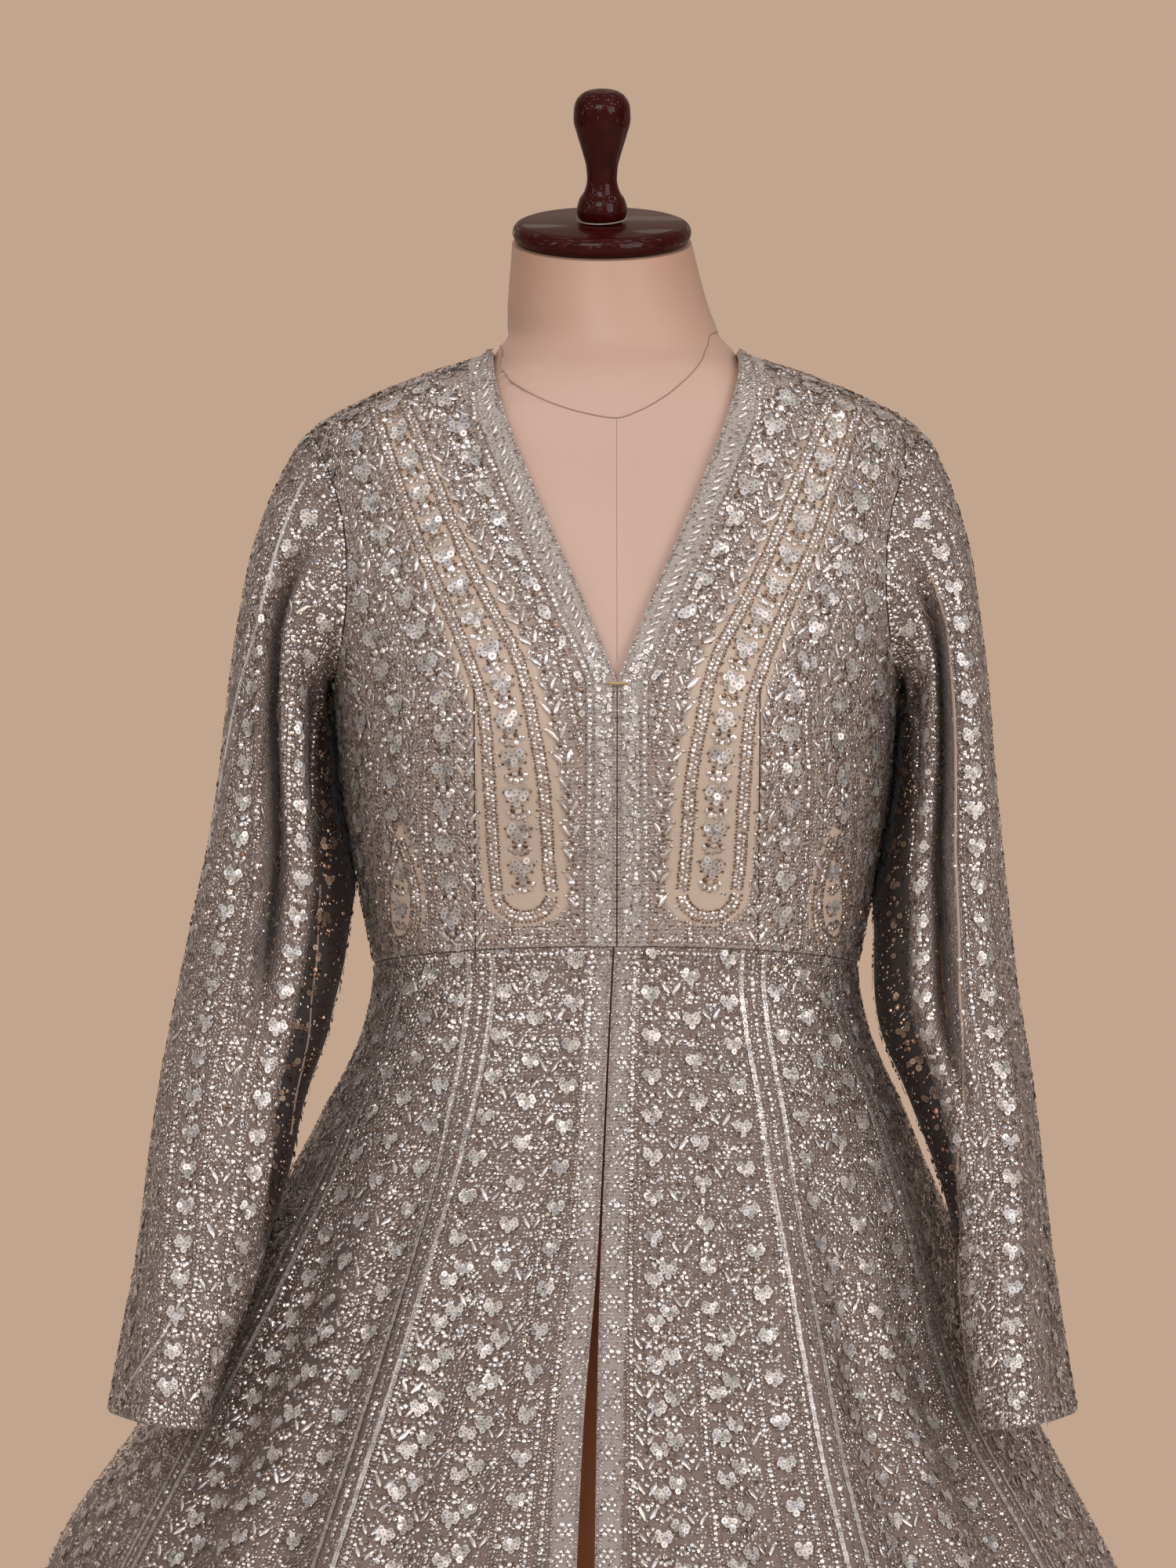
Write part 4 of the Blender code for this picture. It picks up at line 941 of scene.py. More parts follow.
MOTIFS = {
    "heart": heart(),
    "crescent": crescent(),
    "leaves": leaf_pair(),
    "rosette": rosette(),
    "crystal": [bead("crystal", FOILED, 0, 0, 2.85, 0.55)],
    "seeds": [bead("seed", LINED, side * 2.3, 0, 1.9, 0.6) for side in (-1, 1)],
    "twins": [bead("crystal", FOILED, -1.35, 0, 2.7, 0.55), bead("crystal", FOILED, 1.35, 1.35, 2.7, 0.55)],
    "edges": [bead("seed", BROWN, side * 3.3, 0, 1.75, 0.6) for side in (-1, 1)],
    "dot": [bead("seed", LINED, 0, 0, 1.65, 0.5)],
    "brown": [bead("seed", BROWN, 0, 0, 2.1, 0.6)],
    "tile": [bead("tile", PEARLY, 0, 0, 2.7, 0.5, 2.2)],
    "sequin": [bead("sequin", PEARLY, 0, 0, 2.8, 0.5)],
    "slanted_leaf": [bead("leaf", SILVERY, 0, 0, 2.2, 0.7, 5.6, 40)],
}
# What runs along each kind of column: motif, pitch in millimetres, where the first one sits
COLUMNS = {
    "hearts": (("heart", 24.5, 6.0), ("crescent", 24.5, 18.5)),
    "close_hearts": (("heart", 21.0, 6.0), ("crescent", 21.0, 16.5)),
    "leaves": (("leaves", 13.8, 8.0),),
    "clusters": (("rosette", 31.0, 6.0), ("leaves", 31.0, 19.5), ("crystal", 31.0, 27.5)),
    "rosettes": (("rosette", 14.5, 6.0),),
    "beads": (("crystal", 3.2, 1.5), ("seeds", 2.1, 1.0)),
    "bold": (("twins", 2.7, 1.0), ("edges", 2.0, 1.0)),
    "line": (("crystal", 3.2, 1.5),),
    "dots": (("dot", 2.0, 1.0),),
    "ribbon": (("tile", 1.6, 0.5),),
    "rope": (("slanted_leaf", 4.9, 2.0),),
}
# Where a thinned column is low on the skirt, so many of each two motifs stay; of the others both do
THINNER = 0.76
THINNED = {"seeds": 0, "crystal": 1, "crescent": 1}
NEAR = 0.001            # step along a path that gives its way ahead
THREAD_LIFT = 0.0003    # how far its thread holds a bead off the cloth
# How unevenly the beads of a motif vary in size and, in millimetres, in place, and loose ones in size
SIZE_WOBBLE, PLACE_WOBBLE, LOOSE_WOBBLE = 0.08, 0.18, 0.15
# How bright each bead is: the middle, the spread, and the ends it stays between
BRIGHT, BRIGHT_SPREAD, DULLEST, BRIGHTEST = 0.86, 0.14, 0.35, 1.1
# Painted shade: how much less red, green and blue a bead shows on the side of a sleeve that faces the dress
PAINTED_BEAD_SHADE = np.array([0.58, 0.70, 0.78])
# Cool, warm and rosy glass by turns
TINTS = np.array([
    (1.00, 0.97, 0.95), (1.00, 0.92, 0.91), (0.97, 0.96, 1.00), (0.99, 0.98, 0.95), (1.00, 0.93, 0.86),
])


class Stitching:
    """The beads of one stretch of cloth, gathered column by column and then set as one mesh."""

    def __init__(self, surface, seed):
        self.surface = surface
        self.dice = np.random.default_rng(seed)
        self.rows = []

    def lay(self, kind, size, place, head=(0.0, -1.0), move=(0.0, 0.0)):
        """Notes beads of one kind: place and way ahead in the surface's parameters, move aside, and sizes."""
        shape, finish, _, _, sizes, spin = kind
        sizes = [side * size * 1e-3 for side in sizes]
        self.rows.append(np.stack(np.broadcast_arrays(
            *place, *head, *move, *sizes, np.radians(spin), list(SHAPES).index(shape), finish), -1))

    def sew(self, kind, u, v, scale=1.0, start=0.0, thin=False):
        """Lays a kind of column along a path of the surface's parameters."""
        run = lengths(self.surface(u, v), 0)
        for motif, pitch, first in COLUMNS[kind]:
            pitch = pitch * 1e-3
            at = np.arange(first * 1e-3 + start % pitch, run[-1] - NEAR, pitch)
            if thin:
                low = np.interp(at, run, v) < THINNER
                at = at[~low | (np.arange(len(at)) % 2 < THINNED.get(motif, 2))]
            if len(at):
                self.stitch(motif, u, v, run, at, scale)

    def stitch(self, motif, u, v, run, at, scale):
        """Adds a motif at each of the distances along the path."""
        place = [np.interp(at, run, way) for way in (u, v)]
        head = [np.interp(at + NEAR, run, way) - np.interp(at - NEAR, run, way) for way in (u, v)]
        for kind in MOTIFS[motif]:
            size = scale * (1 + SIZE_WOBBLE * self.dice.standard_normal(len(at)))
            move = [(aside * scale + PLACE_WOBBLE * self.dice.standard_normal(len(at))) * 1e-3
                    for aside in kind[2:4]]
            self.lay(kind, size, place, head, move)

    def fill(self, u, v, share, first=("crystal", 0.82), rest=("brown", 0.9)):
        """Adds loose beads at given places, a share of them of the first motif and scale."""
        chosen = self.dice.uniform(0, 1, u.size) < share
        for part, (motif, scale) in ((chosen, first), (~chosen, rest)):
            for kind in MOTIFS[motif]:
                size = scale * (1 + LOOSE_WOBBLE * self.dice.standard_normal(part.sum()))
                self.lay(kind, size, (u[part], v[part]))

    def jitter(self, grids, steps):
        """Places of a grid, each moved by up to a step both ways."""
        return [grid.ravel() + self.dice.uniform(-1, 1, grid.size) * step for grid, step in zip(grids, steps)]

    def axes(self, u, v, head_u, head_v):
        """Slopes of the cloth at places, and the ways ahead, out of it and beside there."""
        along_u, along_v = slopes(self.surface, u, v)
        forward = unit(along_u * head_u[:, None] + along_v * head_v[:, None])
        normal = unit(np.cross(along_u, along_v))
        return along_u, along_v, forward, normal, np.cross(normal, forward)

    def finish(self, name, keep=None, slot="embroidered_cloth", lift=THREAD_LIFT, dim=None):
        """Sets every bead on the cloth: its place moved across and ahead of the path, its frame from the slopes.

        The move is solved for both parameters from the products of the slopes.
        """
        rows = np.concatenate(self.rows)
        u, v, head_u, head_v, across, ahead = rows[:, :6].T
        along_u, along_v, forward, normal, beside = self.axes(u, v, head_u, head_v)
        move = beside * across[:, None] + forward * ahead[:, None]
        uu, uv, vv, mu, mv = (np.sum(a * b, -1) for a, b in (
            (along_u, along_u), (along_u, along_v), (along_v, along_v), (along_u, move), (along_v, move)))
        det = uu * vv - uv * uv
        u, v = u + (mu * vv - mv * uv) / det, v + (mv * uu - mu * uv) / det
        kept = keep(u, v) if keep else np.ones(len(u), bool)
        u, v, rows = u[kept], v[kept], rows[kept]
        count = len(u)
        shape, index = rows[:, 10:].T.astype(int)
        _, _, forward, normal, beside = self.axes(u, v, rows[:, 2], rows[:, 3])
        spin = rows[:, 9] + np.where(shape < ROUND_SHAPES, self.dice.uniform(0, 2 * np.pi, count), 0.0)
        cos, sin = np.cos(spin)[:, None], np.sin(spin)[:, None]
        x_axis, y_axis = beside * cos + forward * sin, forward * cos - beside * sin
        lean = self.dice.normal(0, 1.0, (2, count, 1)) * TILTS[shape][:, None]
        z_axis = unit(normal + lean[0] * x_axis + lean[1] * y_axis)
        x_axis = unit(x_axis - np.sum(x_axis * z_axis, -1, keepdims=True) * z_axis)
        axes = x_axis, np.cross(z_axis, x_axis), z_axis
        base = self.surface(u, v) + lift * normal
        hue = TINTS[self.dice.integers(0, len(TINTS), count)]
        bright = np.clip(self.dice.normal(BRIGHT, BRIGHT_SPREAD, count), DULLEST, BRIGHTEST)[:, None]
        # Painted shade: beads on the side of a sleeve that faces the dress are darkened
        if dim:
            bright = bright * (1 - dim(u, v)[:, None] * PAINTED_BEAD_SHADE)
        parts, start = [], 0
        for number, (corners, triangles) in enumerate(SHAPES.values()):
            chosen = np.flatnonzero(shape == number)
            size = rows[chosen, None, 6:9] * corners
            points = sum((size[..., k:k + 1] * axis[chosen, None] for k, axis in enumerate(axes)),
                         start=base[chosen, None])
            first = start + (np.arange(len(chosen)) * len(corners))[:, None, None]
            tint = np.repeat((hue * bright)[chosen, None], len(corners), axis=1)
            parts.append((points.reshape(-1, 3), (triangles + first).reshape(-1, 3),
                          np.repeat(index[chosen], len(triangles)),
                          np.tile(corners[:, :2], (len(chosen), 1)), tint.reshape(-1, 3)))
            start += len(chosen) * len(corners)
        points, faces, slots, uv, tint = (np.concatenate(part) for part in zip(*parts))
        settle(build_mesh(name, points, faces, BEAD_FINISHES, slots, uv, tint))


# Columns of one skirt panel: kind, share across the panel, height where it starts
PANEL_COLUMNS = (
    ("beads", 0.09, 2.0), ("hearts", 0.21, 2.0), ("clusters", 0.355, 2.0), ("hearts", 0.50, 2.0),
    ("clusters", 0.645, 2.0), ("hearts", 0.79, 2.0), ("beads", 0.91, 2.0),
    ("leaves", 0.15, 0.92), ("hearts", 0.283, 0.955), ("beads", 0.43, 0.93), ("hearts", 0.572, 0.91),
    ("beads", 0.717, 0.965), ("beads", 0.85, 0.88),
)
ALL_THE_WAY = 2.0       # a height above the waist: the column starts as high as the panel goes
PATH_TOP = 1.1145       # above it a column runs on at the turn that it has there
SKIRT_SCALE = 0.93
COLUMN_STEP = 0.0075    # how much further along it each next column starts
SLIT_INSET = 0.06       # how far the columns of the two front panels keep off the opening
# Along the front opening and along each seam: kind and distance from the edge
SLIT_LINES = (("rosettes", 0.0064), ("dots", 0.0010), ("dots", 0.0134))
SEAM_LINES = (("ribbon", 0.0062),)
# The loose beads: from where to where, how far apart, in how many lanes, how far off a panel's edge, and
# what share stays at the back
FILL_TOP, FILL_FOOT, FILL_PITCH, FILL_APART, FILL_LANES, FILL_EDGE = 1.112, 0.74, 0.0047, 0.0043, 60, 0.010
FILL_LOW, FILL_FROM, FILL_OVER, FILL_BACK = 0.35, 0.76, 0.25, 0.75


def skirt_path(k, share, offset, start, foot=HEM + 0.003):
    """A line down skirt panel k, at a share of its width and an offset in metres from there."""
    z = np.linspace(min(start, FILL_TOP + 0.012), foot, 300)
    first, last = panel_edges(k, np.minimum(z, PATH_TOP))
    turn = first * (1 - share) + last * share
    radius = np.linalg.norm(body(turn, z)[:, :2], axis=-1)
    return turn + offset / radius, z


def skirt_keep(u, v):
    """Which places lie on the skirt, between waist seam and hem."""
    return (v < waist_height(u) - 0.0012) & (v > HEM + 0.002)


def fill_skirt(work, k):
    """Single crystals between the columns, close at the waist and fewer down to the middle of the thigh."""
    grids = np.meshgrid(np.arange(FILL_FOOT, FILL_TOP, FILL_PITCH), np.linspace(0, 1, FILL_LANES), indexing="ij")
    z, share = work.jitter(grids, (0.002, 0.008))
    first, last = panel_edges(k, z)
    width = (last - first) * BODY.at("width", z)
    wanted = width / FILL_APART / FILL_LANES * (FILL_LOW + (1 - FILL_LOW) * ramp((z - FILL_FROM) / FILL_OVER))
    wanted = wanted * (FILL_BACK if 3 <= k <= 8 else 1.0)
    edge = np.minimum(share, 1 - share) * width
    chosen = (work.dice.uniform(0, 1, z.size) < wanted) & (edge > FILL_EDGE)
    work.fill((first * (1 - share) + last * share)[chosen], z[chosen], 0.78)


def bead_skirt():
    """Columns that fan out with each panel; a pair of ribbons runs down each seam, rosettes down the opening."""
    for k in range(SKIRT_PANELS):
        work = Stitching(body, 100 + k)
        front_first, front_last = k == 0, k == SKIRT_PANELS - 1
        for number, (kind, share, start) in enumerate(PANEL_COLUMNS):
            share = share + SLIT_INSET * (front_first * (1 - share) - front_last * share)
            work.sew(kind, *skirt_path(k, share, 0.0, start), start=COLUMN_STEP * number, thin=True,
                     scale=SKIRT_SCALE)
        for share, inward, at_slit in ((0.0, 1, front_first), (1.0, -1, front_last)):
            for kind, offset in SLIT_LINES if at_slit else SEAM_LINES:
                work.sew(kind, *skirt_path(k, share, inward * offset, ALL_THE_WAY))
            if inward == 1 and not at_slit:
                work.sew("line", *skirt_path(k, share, 0.0, ALL_THE_WAY))
        share = np.linspace(0.01, 0.99, 60)
        first, last = panel_edges(k, waist_height(2 * np.pi * (k + share) / SKIRT_PANELS) - 0.004)
        u = first * (1 - share) + last * share
        work.sew("line", u, waist_height(u) - 0.0035, scale=0.85)
        fill_skirt(work, k)
        work.finish(f"beadwork_skirt_{k + 1:02d}", keep=skirt_keep)


# Middle line and half width of the long loops on the bodice, as distances in X from the centre front
LOOP = Curves("z middle half", [
    (1.0900, 0.0490, 0.0153),
    (1.1380, 0.0508, 0.0153),
    (1.1580, 0.0528, 0.0153),
    (1.2020, 0.0554, 0.0150),
    (1.2460, 0.0610, 0.0130),
    (1.2680, 0.0670, 0.0138),
    (1.3040, 0.0836, 0.0125),
    (1.3400, 0.1000, 0.0120),
    (1.3750, 0.1130, 0.0110),
    (1.4130, 0.1270, 0.0105),
    (1.4350, 0.1350, 0.0105),
])
LOOP_FOOT = 1.142
LOOP_TOP = 1.435
LOOP_FLAT = 0.93        # how far one unit of turn runs at the loop, as a share of the ring's half width
LOOP_ROUND = 0.013      # how far the loop reaches below its foot
LOOP_EDGE = 0.0065      # bare net beside the bead line
# A drop near each side seam: distance from the centre front in X, height, half width, half height, and how
# far one unit of turn runs there as a share of the ring's half width
DROP_X = 0.121
DROP_Z = 1.143
DROP_HALF = 0.0175
DROP_TALL = 0.030
DROP_FLAT = 0.83
DROP_POINT = 1.1        # how pointed its tip is
BODICE_SCALE, HEARTS_SCALE = 0.95, 1.14
BODICE_STEP = 0.006     # how much further along it each next column starts
FILLER_PITCH, FILLER_MOVE = 0.0044, 0.0018
FRONT_SHARE, BACK_SHARE = 0.72, 0.44    # what share of the fillers' places is taken
# Columns beside the loop: kind, distance from its middle line in half widths, and from where to where
BODICE_COLUMNS = (
    ("close_hearts", 0.0, 1.138, 2.0), ("leaves", 0.0, 0.0, 1.126),
    ("bold", -1.0, LOOP_FOOT, 2.0), ("bold", 1.0, LOOP_FOOT, 2.0), ("beads", 0.62, 0.0, 1.128),
    ("beads", -0.62, 0.0, 1.128), ("leaves", -1.9, 0.0, 2.0), ("beads", -2.75, 0.0, 2.0),
    ("close_hearts", -3.5, 1.15, 2.0), ("leaves", -4.4, 1.2, 2.0),
    ("leaves", 1.9, 0.0, 2.0), ("close_hearts", 2.85, 0.0, 2.0), ("beads", 3.65, 0.0, 2.0),
    ("leaves", 4.45, 0.0, 2.0), ("close_hearts", 5.4, 0.0, 2.0), ("beads", 6.2, 0.0, 2.0),
    ("leaves", 7.0, 0.0, 2.0), ("close_hearts", 7.95, 0.0, 2.0), ("beads", 8.75, 0.0, 2.0),
    ("leaves", 9.6, 0.0, 2.0), ("close_hearts", 10.5, 0.0, 2.0),
)
# Columns down the middle of the back: kind and distance from it
CENTRE_BACK = (("close_hearts", 0.0001), ("beads", 0.011), ("leaves", 0.022), ("beads", 0.033))
# Along the border: kind, distance from its front edge, scale, and the height where it ends
BORDER_LINES = (
    ("dots", 0.0010, 0.8, 0.0), ("rope", 0.0050, 1.0, NECK_V + 0.012), ("line", 0.0102, 0.9, 0.0),
    ("dots", 0.0086, 0.7, 0.0),
)
BORDER_FLAT = 0.96      # how far one unit of turn runs along the front edge, as a share of the radius
BORDER_LOOSE = 420      # how many loose beads fill the foot of the border


def ring_table(behind):
    """Turn at each height and distance round the ring from the centre front or back."""
    z = np.arange(1.085, 1.4501, 0.0025)
    turn = np.linspace(0, np.pi / 2 + 0.4, 260)
    points = body((np.pi - turn if behind else turn)[None, :], z[:, None])
    run = lengths(points, 1)
    distance = np.arange(0, 0.300, 0.002)
    turns = np.stack([np.interp(distance, row, turn) for row in run])
    return z, distance, turns


def turn_at_distance(table, distance, z):
    """The turn at a distance round the ring, between the table's rows and columns."""
    heights, distances, turns = table
    i = np.clip((z - heights[0]) / (heights[1] - heights[0]), 0, len(heights) - 1.001)
    j = np.clip(distance / distances[1], 0, len(distances) - 1.001)
    a, b = i.astype(int), j.astype(int)
    p, q = i - a, j - b
    return ((turns[a, b] * (1 - p) + turns[a + 1, b] * p) * (1 - q)
            + (turns[a, b + 1] * (1 - p) + turns[a + 1, b + 1] * p) * q)


def loop_distance(behind, z):
    """Distance round the ring from the centre to the loop's middle line."""
    end = turn_of(LOOP.at("middle", z), z, NEARLY)
    share = np.linspace(0, 1, 40)[:, None]
    return lengths(body(np.pi - end * share if behind else end * share, z + 0 * share), 0)[-1]


def bodice_keep(side, behind):
    """Which places lie on a bodice front, or on one half of the back, inside its edges and border."""
    def keep(u, v):
        turn = wrapped(np.pi - side * u) if behind else side * u
        radius = np.linalg.norm(body(u, v)[:, :2], axis=-1)
        cos = np.clip((v - (SHOULDER + UNDERARM) / 2) / ((SHOULDER - UNDERARM) / 2), -1, 1)
        outer = np.where((v > UNDERARM) & (v < SHOULDER), armhole(np.arccos(cos))[0], np.pi / 2)
        inside = ((outer - turn) * radius > 0.0022) & (v > waist_height(u) + 0.0014) & (v < NECK_POINT - 0.001)
        if behind:
            x = radius * np.sin(turn)
            edge = BACK_NECK + (NECK_POINT - BACK_NECK) * np.clip(x / NECK_HALF, 0, 1) ** BACK_NECK_POWER
            return inside & (turn > -0.002) & ((v < edge - BORDER_WIDTH) | (x > NECK_HALF + 0.004))
        inside &= (turn - neck_turn_at(v)) * radius * 0.94 > BORDER_WIDTH + 0.001
        return inside & (off_drop(turn, v) > 0.0045)
    return keep


def bead_bodice():
    """Loops, hearts and leaves that curve from the shoulder down to the waist seam, with fillers between them."""
    for behind in (False, True):
        table = ring_table(behind)
        z = np.arange(1.4488, 1.0900, -0.001)
        middle, half = loop_distance(behind, z), LOOP.at("half", z)
        for side in (-1, 1):
            work = Stitching(body, 300 + side + 10 * behind)

            def path(distance, height):
                turn = turn_at_distance(table, distance, height)
                return side * (np.pi - turn if behind else turn), height

            for number, (kind, steps, low, high) in enumerate(BODICE_COLUMNS):
                far = middle + steps * half
                ok = (far > 0.002) & (z > low) & (z < high)
                if ok.sum() > 20:
                    size = HEARTS_SCALE if kind == "close_hearts" else BODICE_SCALE
                    work.sew(kind, *path(far[ok], z[ok]), start=BODICE_STEP * number, scale=size)
            around = np.linspace(0, np.pi, 40)
            foot_half = LOOP.at("half", LOOP_FOOT)
            foot_middle = loop_distance(behind, np.full(1, LOOP_FOOT))
            foot = path(foot_middle + foot_half * np.cos(around), LOOP_FOOT - LOOP_ROUND * np.sin(around))
            work.sew("bold", *foot, scale=BODICE_SCALE)
            far = np.arange(0.004, 0.235, 0.003)
            level = waist_height(turn_at_distance(table, far, np.full(len(far), 1.1))) + 0.0035
            work.sew("line", *path(far, level), scale=0.8)
            if behind:
                for kind, far in CENTRE_BACK:
                    work.sew(kind, *path(np.full(len(z), far), z), scale=BODICE_SCALE)
            grids = np.meshgrid(np.arange(0.002, 0.24, FILLER_PITCH), np.arange(1.10, 1.449, FILLER_PITCH))
            far, height = work.jitter(grids, (FILLER_MOVE, FILLER_MOVE))
            clear = off_loop(turn_at_distance(table, far, height), height) > LOOP_EDGE
            chosen = clear & (work.dice.uniform(0, 1, far.size) < (BACK_SHARE if behind else FRONT_SHARE))
            work.fill(*path(far[chosen], height[chosen]), 0.75, ("crystal", 0.88))
            word = ("back_" if behind else "front_") + ("left" if side < 0 else "right")
            work.finish(f"beadwork_{word}", keep=bodice_keep(side, behind))
    around = np.linspace(0, 2 * np.pi, 120)
    for side, word in ((-1, "left"), (1, "right")):
        work = Stitching(body, 350 + side)
        z = DROP_Z + DROP_TALL * np.cos(around)
        off = np.sign(np.sin(around)) * drop_half(np.cos(around))
        work.sew("bold", side * drop_turn(off, z), z, scale=1.05)
        z = np.linspace(DROP_Z + 0.016, DROP_Z - 0.024, 40)
        work.sew("close_hearts", side * drop_turn(0.0, z), z, scale=0.92)
        work.finish(f"beadwork_drop_{word}")


def bead_borders():
    """A rope of slanting leaves between lines of seed beads and crystals, down the neck edge to the V's foot,
    and sequins and crystals scattered below it."""
    for side, word in ((-1, "left"), (1, "right")):
        work = Stitching(body, 400 + side)
        z = np.arange(NECK_POINT - 0.001, waist_height(0.0) + 0.003, -0.0015)
        edge = neck_turn_at(z)
        radius = np.linalg.norm(body(edge, z)[:, :2], axis=-1)
        for kind, off, size, foot in BORDER_LINES:
            work.sew(kind, side * (edge + off / BORDER_FLAT / radius)[z >= foot], z[z >= foot], scale=size)
        height = work.dice.uniform(waist_height(0.0) + 0.003, NECK_V + 0.020, BORDER_LOOSE)
        off = work.dice.uniform(0.0022, 0.0078, BORDER_LOOSE)
        radius = np.linalg.norm(body(0.0 * height, height)[:, :2], axis=-1)
        work.fill(side * (neck_turn_at(height) + off / BORDER_FLAT / radius), height, 0.62,
                  ("sequin", 0.85), ("crystal", 0.80))
        work.finish(f"beadwork_band_{word}", slot="sequin_border", lift=BORDER_LIFT + BORDER_WALL + 0.0002)


SLEEVE_COLUMNS = 28
SLEEVE_KINDS = ("close_hearts", "beads", "clusters", "beads")
SLEEVE_DRIFT = 0.10     # how far they turn outwards on the way to the cuff
SLEEVE_START = {"left": 0.82, "right": 0.98}    # where the first one runs, in steps of the columns
RIBBONS = (262.0, 330.0)        # where each pair of ribbons starts behind the sleeve, in degrees
RIBBON_OFF = 0.045      # how far each of a pair turns from there
END_LINES = (0.011, 0.988, 0.996)
SLEEVE_LONG = 0.58
SLEEVE_FILL = 0.50, 0.80, 0.16  # share of the fillers' places taken, the same at the top, and where that ends
SLEEVE_HIDDEN = 0.42    # share of the beads that stays on the side that faces the dress


def bead_sleeves():
    """Columns down each sleeve that drift outwards, two pairs of ribbons behind, lines round its ends, fillers."""
    along = np.linspace(0.0, 1.0, 260)
    for surface, word, seed, turned in ((sleeve_left, "left", 500, -1.0), (sleeve_right, "right", 501, 1.0)):
        work = Stitching(surface, seed)
        for k in range(SLEEVE_COLUMNS):
            angle = turned * (2 * np.pi * (k + SLEEVE_START[word]) / SLEEVE_COLUMNS - SLEEVE_DRIFT * along)
            work.sew(SLEEVE_KINDS[k % 4], angle, along, start=0.009 * k, scale=0.95)
        for first in RIBBONS:
            for step in (-RIBBON_OFF, RIBBON_OFF):
                work.sew("ribbon", turned * (np.radians(first) + step - SLEEVE_DRIFT * along[10:]), along[10:])
        for level in END_LINES:
            work.sew("line", np.linspace(0, 2 * np.pi, 200), np.full(200, level), scale=0.8)
        levels = np.arange(0.002, 0.998, FILL_PITCH / SLEEVE_LONG)
        v, u = np.meshgrid(levels, np.arange(0, 2 * np.pi, 0.068), indexing="ij")
        u, v = work.jitter((u, v), (0.026, 0.0032))
        chosen = work.dice.uniform(0, 1, u.size) < np.where(v < SLEEVE_FILL[2], SLEEVE_FILL[1], SLEEVE_FILL[0])
        work.fill(u[chosen], v[chosen], 0.75)

        # Painted shade and fewer beads on the side that faces the dress
        def sparse_shaded_side(u, v):
            return underarm(turned * u, v)

        def keep(u, v):
            few = work.dice.uniform(0, 1, u.size) < SLEEVE_HIDDEN
            return (v > 0.003) & (v < 0.999) & ((sparse_shaded_side(u, v) < 0.5) | few)
        work.finish(f"beadwork_sleeve_{word}", keep=keep, dim=sparse_shaded_side)


# Dress form

def build_form():
    """The form's smooth cover: the body's surface moved in by cloth and ease, and the hips below it."""
    angle = np.arange(80) * 2 * np.pi / 80
    hips = np.linspace(FORM_HIPS.rows[0, 0], FORM_HIPS.rows[-1, 0], 20)[:-1, None]
    width, front, back = FORM_HIPS.at("width front back", hips)
    depth = np.where(np.cos(angle) > 0, front, back)
    lower = np.stack([BODY.at("centre", hips) + width * np.sin(angle), -depth * np.cos(angle),
                      hips + 0 * angle], -1)
    z = np.concatenate([np.linspace(FORM_HIPS.rows[-1, 0], 1.39, 40), np.linspace(1.393, NECK_TOP, 56)])[:, None]
    upper = form_face(angle[None, :], z + 0 * angle)
    settle(rings_mesh("form_cover", np.concatenate([lower, upper]), COVER), "form_torso")


def form_face(turn, z, out=0.0):
    """The form's surface at a turn and height, out metres outside it; above the collar it leaves the cloth."""
    blades = ramp((z - BLADES[0]) / (BLADES[1] - BLADES[0]))
    behind = 1 + BACK_EASE * np.clip(-2 * np.cos(turn), 0, 1) * blades
    bare = ramp((z - COLLAR[0]) / (COLLAR[1] - COLLAR[0]))
    inside = (neck_turn_at(z) - np.abs(wrapped(turn))) * BODY.at("width", z)
    open_front = ramp((z - BARE_FRONT[0]) / (BARE_FRONT[1] - BARE_FRONT[0])) * ramp(inside / BARE_EDGE)
    bare = np.maximum(bare, open_front * (np.cos(turn) > 0))
    inset = (WALL + behind * EASE.at("ease", z)) * (1 - bare) - out
    along_u, along_v = slopes(body, turn, z)
    points = body(turn, z) - inset[..., None] * unit(np.cross(along_u, along_v))
    tilt = np.tan(CAP_TILT) * ramp((z - TILT_START) / (NECK_TOP - TILT_START))
    points[..., 2] += points[..., 1] * tilt
    return points


def rings_mesh(name, rings, finish):
    """A closed body through rings of points, with a fan at each end."""
    rows, sides = rings.shape[:2]
    quads = grid_faces(rows, sides, wrap=True)
    points = np.vstack([rings.reshape(-1, 3), rings[0].mean(axis=0), rings[-1].mean(axis=0)])
    k, last = np.arange(sides), (rows - 1) * sides
    after = (k + 1) % sides
    low = np.stack([after, k, 0 * k + rows * sides], -1)
    top = np.stack([k + last, after + last, 0 * k + rows * sides + 1], -1)
    triangles = np.concatenate([quads[:, [0, 1, 2]], quads[:, [0, 2, 3]], low, top])
    return build_mesh(name, points, triangles, (finish,), soft=40)


def tilted(x, y, height):
    """Points of a turned piece, leant back as the neck's top is."""
    cos, sin = np.cos(CAP_TILT), np.sin(CAP_TILT)
    return np.stack([x, y * cos - height * sin, y * sin + height * cos], -1)


def turned(name, node, profile, centre, sides=56):
    """A turned piece on the cap's axis: a smooth curve through rows of radius and height."""
    profile = np.array(profile)
    run = lengths(profile, 0)
    at = np.linspace(0, run[-1], 5 * len(profile))
    radius, height = (smooth(run, profile[:, k], at)[:, None] for k in (0, 1))
    angle = np.arange(sides) * 2 * np.pi / sides
    rings = tilted(radius * np.cos(angle), radius * np.sin(angle), height + 0 * angle)
    settle(rings_mesh(name, rings + centre, LACQUER), node)


